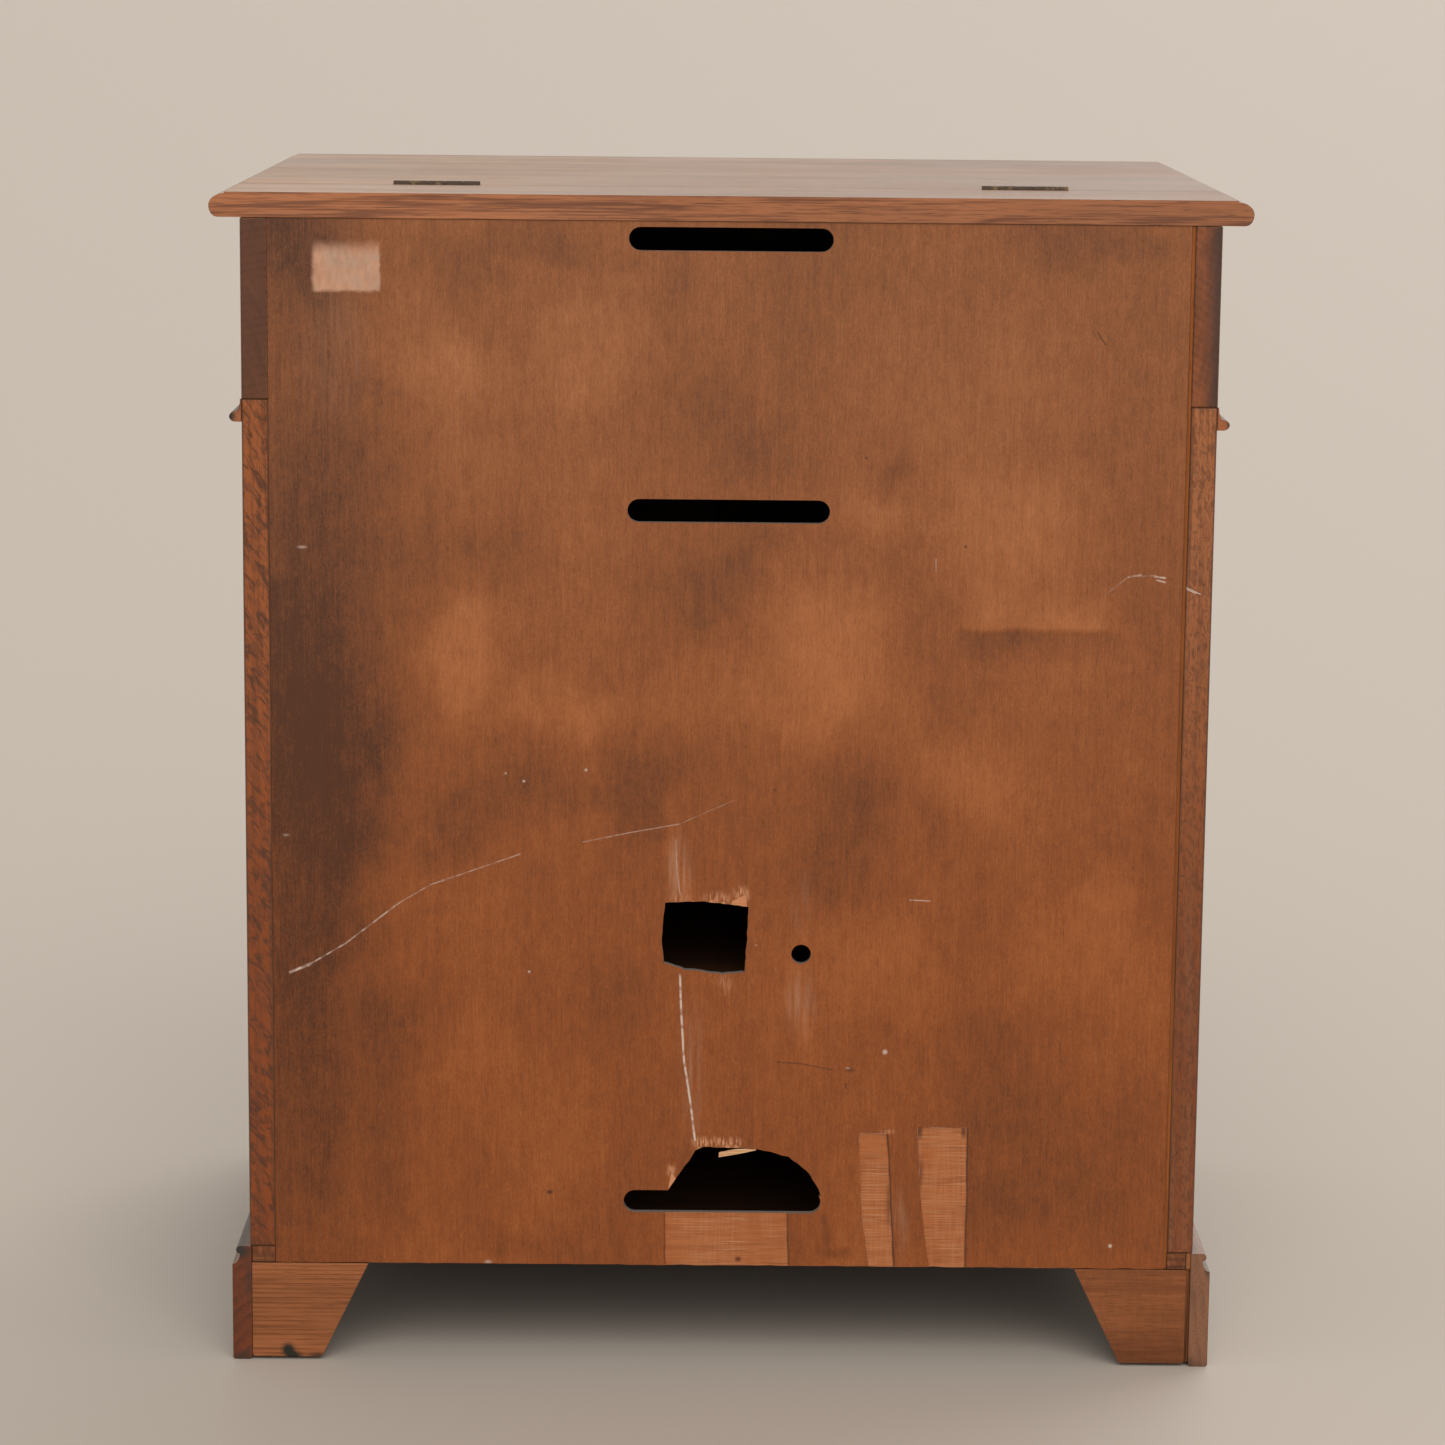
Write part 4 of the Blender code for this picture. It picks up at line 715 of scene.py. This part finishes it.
stained, tree, shader = new_material("stained_veneer")
place = node(tree, "TexCoord").outputs
at = place["Object"]
wobble = node(tree, "TexNoise", {"Vector": at, "Scale": 11.0, "Detail": 3.0}).outputs["Color"]
wobble = vector_calc(tree, "SUBTRACT", wobble, (0.5, 0.5, 0.5))
adrift = vector_calc(tree, "ADD", at, vector_calc(tree, "MULTIPLY", wobble, (0.09, 0, 0.16)))
broad = noise(tree, at, (9, 9, 5), 3, 0.55)
fine = noise(tree, at, (900, 200, 40), 3, 0.6)
tick = noise(tree, at, (800, 200, 260), 2, 0.6)
long_streak = noise(tree, at, (150, 40, 3.5), 2, 0.5)
mottle = noise(tree, at, (110, 60, 70), 3, 0.65)
dust = noise(tree, at, (1100, 200, 700), 2, 0.6)
tone = times(tree, spots(tree, adrift, STAIN_CLOUDS), 0.42)
for figure, strength in ((broad, 0.45), (fine, 0.42), (tick, 0.35), (long_streak, 0.16), (mottle, 0.34),
                         (dust, 0.40)):
    tone = plus(tree, tone, times(tree, minus(tree, figure, 0.5), strength))
spread = node(tree, "SeparateXYZ", {"Vector": adrift}).outputs
# The sheet darkens towards its +X edge, less so at the bottom: partly stain, partly painted shade on that
# side.
side_stain_and_shade = times(tree, ramp(tree, spread["X"], 0.250, 0.335), ramp(tree, spread["Z"], 0.04, 0.18, 0.45, 1.0))
tone = minus(tree, tone, times(tree, side_stain_and_shade, 0.21))
here = node(tree, "SeparateXYZ", {"Vector": at}).outputs
uneven = times(tree, minus(tree, noise(tree, at, (24, 0, 0), 2, 0.5), 0.5), 0.008)
above = plus(tree, minus(tree, here["Z"], LEDGE_MIDDLE[1]), uneven)
along = calc(tree, "ABSOLUTE", minus(tree, here["X"], LEDGE_MIDDLE[0]))
ledge = ramp(tree, along, LEDGE_HALF + 0.012, LEDGE_HALF - 0.022)
# A shallow ledge in the sheet: a painted highlight above it and a painted shade below it, added to the colour
# and also used as its bump.
lit = times(tree, ramp(tree, above, -0.0030, 0.0035), ramp(tree, above, 0.045, 0.004))
shaded = times(tree, ramp(tree, above, 0.0030, -0.0035), ramp(tree, above, -0.035, -0.004))
ledge_shading = times(tree, ledge, minus(tree, times(tree, lit, 0.22), times(tree, shaded, 0.20)))
tone = plus(tree, tone, plus(tree, ledge_shading, 0.5))
stain = node(tree, "ValToRGB", {"Fac": tone})
stain.color_ramp.elements[0].color = (0.080, 0.027, 0.011, 1)
stain.color_ramp.elements[1].color = (0.410, 0.148, 0.050, 1)
middle_stain = stain.color_ramp.elements.new(0.5)
middle_stain.color = (0.250, 0.078, 0.022, 1)
# Painted light: the sheet is warmer and darker towards the bottom, a painted falloff of the light, and paler
# and greyer towards the top, a painted sheen.
painted_light_tint = mixed(tree, ramp(tree, here["Z"], 0.25, 0.95), (0.99, 0.86, 0.62, 1), (1.06, 1.20, 1.48, 1))
colour = mixed(tree, 1.0, stain.outputs["Color"], painted_light_tint, "MULTIPLY")
ticks = ramp(tree, noise(tree, at, (1300, 300, 75), 1), 0.64, 0.74)
colour = mixed(tree, times(tree, ticks, 0.40), colour, (0.06, 0.025, 0.014, 1))
hazy = ramp(tree, noise(tree, at, (330, 100, 20), 3, 0.6), 0.30, 0.72)
hazy = times(tree, spots(tree, at, HAZES), hazy)
colour = mixed(tree, hazy, colour, (0.42, 0.235, 0.150, 1))
frayed = times(tree, spots(tree, at, FRAYS), ramp(tree, noise(tree, at, (600, 200, 110), 3, 0.6), 0.40, 0.62))
colour = mixed(tree, frayed, colour, (0.58, 0.280, 0.145, 1))
shaky = times(tree, minus(tree, noise(tree, at, (150, 1, 150), 3, 0.6), 0.5), 0.004)
left, right, low, high = LABEL_PLACE
inside = 1.0
for value, start, end in ((here["X"], left + 0.001, left - 0.0035),
                          (here["X"], right - 0.0005, right + 0.002),
                          (here["Z"], low - 0.0005, low + 0.003), (here["Z"], high + 0.002, high - 0.012)):
    inside = times(tree, inside, ramp(tree, plus(tree, value, shaky), start, end))
rubbed = ramp(tree, noise(tree, at, (240, 100, 80), 3, 0.6), 0.30, 0.62, 0.78, 1.0)
label_tone = mixed(tree, ramp(tree, noise(tree, at, (70, 70, 70), 3), 0.35, 0.65),
                   (0.55, 0.30, 0.195, 1), (0.46, 0.300, 0.215, 1))
colour = mixed(tree, times(tree, inside, rubbed), colour, label_tone)
# Pale worn scratches, with painted highlights along the torn veneer edges.
scratch_and_highlight_lines = ramp(tree, noise(tree, at, (160, 160, 160), 2), 0.36, 0.60, 0.25, 1.0)
scratch_and_highlight_lines = times(tree, scratches(tree, at, PALE_SCRATCHES), scratch_and_highlight_lines)
scratch_and_highlight_lines = calc(tree, "MAXIMUM", scratch_and_highlight_lines, times(tree, scratches(tree, at, TORN_EDGE_HIGHLIGHTS), 0.6))
pale_marks = calc(tree, "MAXIMUM", scratch_and_highlight_lines, spots(tree, at, PALE_DOTS))
colour = mixed(tree, pale_marks, colour, (0.56, 0.45, 0.38, 1))
# Dark dots and lines, with painted shadows along the edges of the bare strips.
dark_marks = calc(tree, "MAXIMUM", spots(tree, at, DARK_DOTS), scratches(tree, at, EDGE_SHADOWS_AND_DARK_LINES))
colour = mixed(tree, dark_marks, colour, (0.05, 0.020, 0.011, 1))
# The cut faces around the holes and edges are a pale grey: partly bare cut wood, partly a painted highlight.
flat_on = calc(tree, "ABSOLUTE", vector_calc(tree, "DOT_PRODUCT", place["Normal"], (0, 1, 0)))
colour = mixed(tree, ramp(tree, flat_on, 0.6, 0.4), colour, (0.20, 0.165, 0.145, 1))
shader.inputs["Specular IOR Level"].default_value = 0.3
tree.links.new(colour, shader.inputs["Base Color"])
tree.links.new(ramp(tree, fine, 0.3, 0.7, 0.46, 0.60), shader.inputs["Roughness"])
relief = plus(tree, times(tree, fine, 0.05), times(tree, ledge_shading, 0.5))
bump = node(tree, "Bump", {"Strength": 1.0, "Distance": 0.0020, "Height": relief})
tree.links.new(bump.outputs[0], shader.inputs["Normal"])
veneer.data.materials.clear()
veneer.data.materials.append(stained)

TORN = ((0.0130, 0.3760, 0.070, 0.020, 1.0), (0.0, 0.1790, 0.060, 0.016, 1.0),
        (0.0390, 0.1500, 0.014, 0.020, 1.0))
# Dark marks on the bare core, most of them along the torn edges of the veneer.
DARK_CORE_MARKS = ((-0.0130, 0.0850, 0.0040, 0.0035, 0.9), (-0.1545, 0.1905, 0.004, 0.010, 0.8),
           (-0.1890, 0.1900, 0.003, 0.008, 0.8), (-0.1560, 0.1550, 0.003, 0.020, 0.6),
           (-0.1310, 0.1300, 0.003, 0.030, 0.5))

bare_core, tree, shader = new_material("bare_core")
place = node(tree, "TexCoord").outputs
at = place["Object"]
soft_tone = noise(tree, at, (28, 60, 190), 3, 0.6)
colour = mixed(tree, ramp(tree, soft_tone, 0.3, 0.7), (0.320, 0.098, 0.030, 1), (0.400, 0.134, 0.045, 1))
threads = ramp(tree, noise(tree, at, (22, 200, 1300), 2, 0.6), 0.50, 0.64)
cross = ramp(tree, noise(tree, at, (950, 200, 30), 2, 0.6), 0.40, 0.62)
ribbed = ramp(tree, noise(tree, at, (30, 1, 9), 2), 0.30, 0.52, 0.25, 1.0)
colour = mixed(tree, times(tree, times(tree, threads, ribbed), 0.50), colour, (0.56, 0.290, 0.155, 1))
woven = times(tree, times(tree, cross, ribbed), 0.30)
colour = mixed(tree, woven, colour, (0.50, 0.220, 0.100, 1))
lines = ramp(tree, noise(tree, at, (30, 200, 800), 2, 0.6), 0.62, 0.72)
colour = mixed(tree, times(tree, lines, 0.5), colour, (0.150, 0.045, 0.018, 1))
colour = mixed(tree, spots(tree, at, TORN), colour, (0.60, 0.270, 0.130, 1))
colour = mixed(tree, spots(tree, at, DARK_CORE_MARKS), colour, (0.090, 0.028, 0.014, 1))
# The cut faces around the holes and edges are a pale grey: partly bare cut wood, partly a painted highlight.
flat_on = calc(tree, "ABSOLUTE", vector_calc(tree, "DOT_PRODUCT", place["Normal"], (0, 1, 0)))
colour = mixed(tree, ramp(tree, flat_on, 0.6, 0.4), colour, (0.19, 0.16, 0.145, 1))
tree.links.new(colour, shader.inputs["Base Color"])
shader.inputs["Roughness"].default_value = 0.75
shader.inputs["Specular IOR Level"].default_value = 0.2
bump = node(tree, "Bump", {"Strength": 0.5, "Distance": 0.0003, "Height": threads})
tree.links.new(bump.outputs[0], shader.inputs["Normal"])
core.data.materials.clear()
core.data.materials.append(bare_core)

# Stained packing fills the gap beside the loose edge of the back, and old glue and stain fill the hair's
# breadth in the other joints that show at the back.
LOOSE_GAP = 0.0031
TIGHT_GAP = 0.0003
LOOSE_FILLER_BACK = 0.0004
TIGHT_FILLER_BACK = 0.0001
FILLER_CLEAR = 0.00004
ABOVE_BASE = 0.0004
BASE_END_IN = 0.004
base_low, base_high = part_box("bottom_board")
side_low, side_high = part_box("rear_stile_right")
upper_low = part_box("upper_side_right")[0]
waist_low, waist_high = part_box("waist_moulding_right")
edge = back_high.x
joint_back = side_high.y - TIGHT_FILLER_BACK
gaps = [((back_low.x - LOOSE_GAP, base_low.z + ABOVE_BASE), (back_low.x, back_high.z),
         back_high.y - LOOSE_FILLER_BACK),
        ((edge, base_high.z + ABOVE_BASE), (edge + TIGHT_GAP, back_high.z), back_high.y - TIGHT_FILLER_BACK)]
for side in (-1, 1):
    gaps += [((side * edge, side_high.z), (side * side_high.x, upper_low.z), joint_back),
             ((side * side_high.x, waist_low.z), (side * waist_low.x, waist_high.z), joint_back),
             ((side * edge, base_high.z), (side * (base_high.x - BASE_END_IN), side_low.z), joint_back)]
fillers = []
for first, second, back in gaps:
    across, upward = sorted((first[0], second[0])), sorted((first[1], second[1]))
    low = Vector((across[0] + FILLER_CLEAR, back_low.y, upward[0] + FILLER_CLEAR))
    high = Vector((across[1] - FILLER_CLEAR, back, upward[1] - FILLER_CLEAR))
    piece = bmesh.new()
    shape = Matrix.Translation((low + high) / 2) @ Matrix.Diagonal((*(high - low), 1))
    bmesh.ops.create_cube(piece, size=1, matrix=shape)
    fillers.append(piece)
back_packing = joined("back_packing", fillers, "cabinet")
PACKED = {"early": (0.270, 0.082, 0.018, 1), "late": (0.190, 0.056, 0.013, 1)}
back_packing.data.materials.append(oak("back_packing_oak", "Z", (0.2, 0.02, 0.01), face=PACKED, coat=0.0,
                                       rough=0.6, wear=0.0, clouds=0.25))

# A torn sliver of the face hangs across the top of the lower hole.
SLIVER = ((0.0027, 0.1718), (0.0030, 0.1680), (-0.0120, 0.1706), (-0.0262, 0.1738), (-0.0262, 0.1752),
          (-0.0100, 0.1745))
SLIVER_THICKNESS = 0.0012
sliver = joined("back_sliver", [prism(SLIVER, veneer_front - SLIVER_THICKNESS, veneer_front)], "cabinet")
pale_tear, tree, shader = new_material("pale_tear")
place = node(tree, "TexCoord").outputs
fibres = noise(tree, place["Object"], (60, 60, 900), 2, 0.6)
tree.links.new(mixed(tree, ramp(tree, fibres, 0.35, 0.65), (0.55, 0.300, 0.150, 1), (0.78, 0.52, 0.32, 1)),
               shader.inputs["Base Color"])
shader.inputs["Roughness"].default_value = 0.8
shader.inputs["Specular IOR Level"].default_value = 0.2
sliver.data.materials.append(pale_tear)

# ---------------------------------------------------------------- Front
# The frieze and both doors are stained oak, and carry dummy drawer fronts: flat fields inside mitred
# mouldings. The doors hang on brass butt hinges under the frieze.
finish("frieze_front", oak("frieze_oak", "X", (0.55, 0.1, 0.08)))
finish("door_left", oak("left_door_oak", "X", (0.65, 0.12, 0.2)))
finish("door_right", oak("right_door_oak", "X", (0.05, 0.11, 0.2)))

# A planted strip on the back of the left door laps over the gap between the doors, above the shelf and
# below it.
door_low, door_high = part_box("door_left")
shelf_low, shelf_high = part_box("shelf")
STRIP_LAP = 0.007
STRIP_THICKNESS = 0.003
STRIP_CLEAR = 0.0003
STRIP_END_GAP = 0.002
STRIP_CHAMFER = 0.001
strips = []
for low, high in ((door_low.z, shelf_low.z - STRIP_END_GAP), (shelf_high.z + STRIP_END_GAP, door_high.z)):
    edge = door_high.x
    inner, outer, back = edge - 2 * STRIP_LAP, edge + STRIP_LAP, door_high.y + STRIP_THICKNESS
    plan = ((inner, door_high.y), (edge, door_high.y), (edge, door_high.y + STRIP_CLEAR),
            (outer, door_high.y + STRIP_CLEAR), (outer, back - STRIP_CHAMFER), (outer - STRIP_CHAMFER, back),
            (inner + STRIP_CHAMFER, back), (inner, back - STRIP_CHAMFER))
    strip = prism(plan, low, high)
    swapped = Matrix(((1, 0, 0, 0), (0, 0, 1, 0), (0, 1, 0, 0), (0, 0, 0, 1)))
    bmesh.ops.transform(strip, matrix=swapped, verts=strip.verts)
    bmesh.ops.recalc_face_normals(strip, faces=strip.faces)
    strips.append(strip)
door_strip = joined("door_strip", strips, "door_left")
door_strip.data.materials.append(oak("door_strip_oak", "Z", (0.3, 0.02, 0.01)))

# ---------------------------------------------------------------- Top
# A fixed strip along the back and the lid in front of it, both of oak with a thumbnail nosing. The top
# is waxed, with a painted sheen and shade across it, and the square back edge is bare.
STRIP_FACE = {"early": (0.315, 0.165, 0.090, 1), "late": (0.200, 0.095, 0.050, 1)}
LID_FACE = {"early": (0.285, 0.140, 0.068, 1), "late": (0.165, 0.075, 0.036, 1)}
TOP_EDGE = {"early": (0.345, 0.128, 0.052, 1), "late": (0.165, 0.056, 0.022, 1)}
# Painted light on the top: shade, darker and warmer, at -X and a sheen, paler and greyer, at +X.
TOP_SHEEN_AND_SHADE = ((0.73, 0.66, 0.59, 1), (1.26, 1.46, 1.70, 1))
finish("top_rear_strip", oak("top_strip_oak", "X", (0.75, 0.04, -0.86), face=STRIP_FACE, back=TOP_EDGE,
                             rough=0.36, ring=0.0045, wander=0.02, streaks=1.2, coat=0.18, clouds=0.2,
                             painted_light_tint=TOP_SHEEN_AND_SHADE))
finish("lid", oak("lid_oak", "X", (0.85, 0.3, -0.80), face=LID_FACE, rough=0.36, ring=0.008, coat=0.18,
                  clouds=0.25, painted_light_tint=TOP_SHEEN_AND_SHADE))

# ---------------------------------------------------------------- Brass
# Butt hinges, the quadrant stay and its keeper, and the drop handles are of brass that has gone brown,
# darkest in the hollows and on the lid's hinges, and rubbed bright where hands reach.


def aged_brass(name, tarnish, bright):
    """Brass with a brown tarnish, rubbed bright on its edges."""
    made, tree, shader = new_material(name)
    place = node(tree, "TexCoord").outputs
    dirt_and_shade = placed(tree, DIRT_AND_SHADE, {"Reach": 0.004, "Vector": place["Object"]})["Mask"]
    rubbed = placed(tree, ARRIS, {"Radius": 0.0006, "Vector": place["Object"]})
    patch = ramp(tree, noise(tree, place["Object"], (120, 120, 120), 4, 0.6), 0.35, 0.65)
    brown = plus(tree, times(tree, patch, 0.45), tarnish)
    brown = minus(tree, plus(tree, brown, dirt_and_shade), times(tree, rubbed["Mask"], bright))
    brown = node(tree, "Clamp", {"Value": brown}).outputs[0]
    colour = mixed(tree, brown, (0.56, 0.38, 0.15, 1), (0.060, 0.036, 0.022, 1))
    tree.links.new(colour, shader.inputs["Base Color"])
    tree.links.new(ramp(tree, brown, 0.0, 1.0, 0.95, 0.45), shader.inputs["Metallic"])
    tree.links.new(ramp(tree, brown, 0.0, 1.0, 0.26, 0.58), shader.inputs["Roughness"])
    pits = noise(tree, place["Object"], (900, 900, 900), 2)
    bump = node(tree, "Bump", {"Strength": 0.2, "Distance": 0.0001, "Height": pits,
                               "Normal": rubbed["Normal"]})
    tree.links.new(bump.outputs[0], shader.inputs["Normal"])
    return made


hinge_brass = aged_brass("hinge_brass", 0.72, 0.15)
handle_brass = aged_brass("handle_brass", 0.20, 0.6)
for name in nodes:
    if "leaf" in name or "stay" in name:
        nodes[name].material_slots[0].material = hinge_brass
    if "handle" in name:
        nodes[name].material_slots[0].material = handle_brass

# Slotted screws hold the hinge leaves, the stay and its keeper. Their heads stand a hair proud. The two
# leaves of a hinge lie on either side of the plane through its pin.
HEAD_PROUD = 0.00012
HEAD_STEPS = 10
HEAD_RADIUS = 0.0031
SCREW_SLOT_SHARE = 0.13
SCREW_SPACING = 0.024
LID_PIN_Y = 0.1855
LID_SCREW_IN = 0.0056
DOOR_PIN_X = 0.3505
DOOR_SCREW_IN = 0.0058
LEAF_OFF_PIN = 0.0002
STAY_SCREW_RADIUS = 0.0022
STAY_SCREWS = ((0.3375, 0.0545, 0.8973), (0.3375, 0.0800, 0.8973))
KEEPER_SCREW_RADIUS = 0.0018
KEEPER_SCREWS = ((0.3492, 0.0706, 0.8832), (0.3492, 0.0748, 0.8718))


def screw_head(place, facing, radius, turn):
    """A flush screw head with a slot, facing away from its leaf."""
    head = bmesh.new()
    gap = math.degrees(math.asin(SCREW_SLOT_SHARE))
    for side in (-1, 1):
        rim = arc((0, 0), radius, side * gap, side * (180 - gap), HEAD_STEPS)
        face = head.faces.new([head.verts.new((x, y, -HEAD_PROUD / 2)) for x, y in rim])
        raised = bmesh.ops.extrude_face_region(head, geom=[face])["geom"]
        raised = [part for part in raised if isinstance(part, bmesh.types.BMVert)]
        bmesh.ops.translate(head, vec=(0, 0, HEAD_PROUD * 1.5), verts=raised)
    bmesh.ops.recalc_face_normals(head, faces=head.faces)
    aimed = Vector(facing).to_track_quat("Z", "Y").to_matrix().to_4x4()
    spun = Matrix.Translation(place) @ aimed @ Matrix.Rotation(turn, 4, "Z")
    bmesh.ops.transform(head, matrix=spun, verts=head.verts)
    return head


chance = random.Random(31)
heads = {"cabinet": [], "lid": [], "door_left": [], "door_right": []}


def fix_screw(body, place, facing, radius=HEAD_RADIUS):
    """Adds a screw head to those that ride on a body."""
    heads[body].append(screw_head(place, facing, radius, chance.uniform(0, math.pi)))


screw_rows = (-SCREW_SPACING, 0.0, SCREW_SPACING)
for side, sign in (("left", -1), ("right", 1)):
    low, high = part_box(f"lid_hinge_{side}_fixed_leaf")
    for along in screw_rows:
        x, z = (low.x + high.x) / 2 + along, low.z + LID_SCREW_IN
        fix_screw("cabinet", (x, LID_PIN_Y + LEAF_OFF_PIN, z), (0, -1, 0))
        fix_screw("lid", (x, LID_PIN_Y - LEAF_OFF_PIN, z), (0, 1, 0))
    for level in ("lower", "upper"):
        low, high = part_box(f"door_{side}_{level}_hinge_fixed_leaf")
        for along in screw_rows:
            y, z = high.y - DOOR_SCREW_IN, (low.z + high.z) / 2 + along
            fix_screw("cabinet", (sign * (DOOR_PIN_X + LEAF_OFF_PIN), y, z), (-sign, 0, 0))
            fix_screw(f"door_{side}", (sign * (DOOR_PIN_X - LEAF_OFF_PIN), y, z), (sign, 0, 0))
for place in STAY_SCREWS:
    fix_screw("lid", place, (0, 0, -1), STAY_SCREW_RADIUS)
for place in KEEPER_SCREWS:
    fix_screw("cabinet", place, (-1, 0, 0), KEEPER_SCREW_RADIUS)
screw_brass = aged_brass("screw_brass", 0.30, 0.3)
for body, made in heads.items():
    screws = joined(f"screws_{body}", made, body)
    screws.data.materials.append(screw_brass)
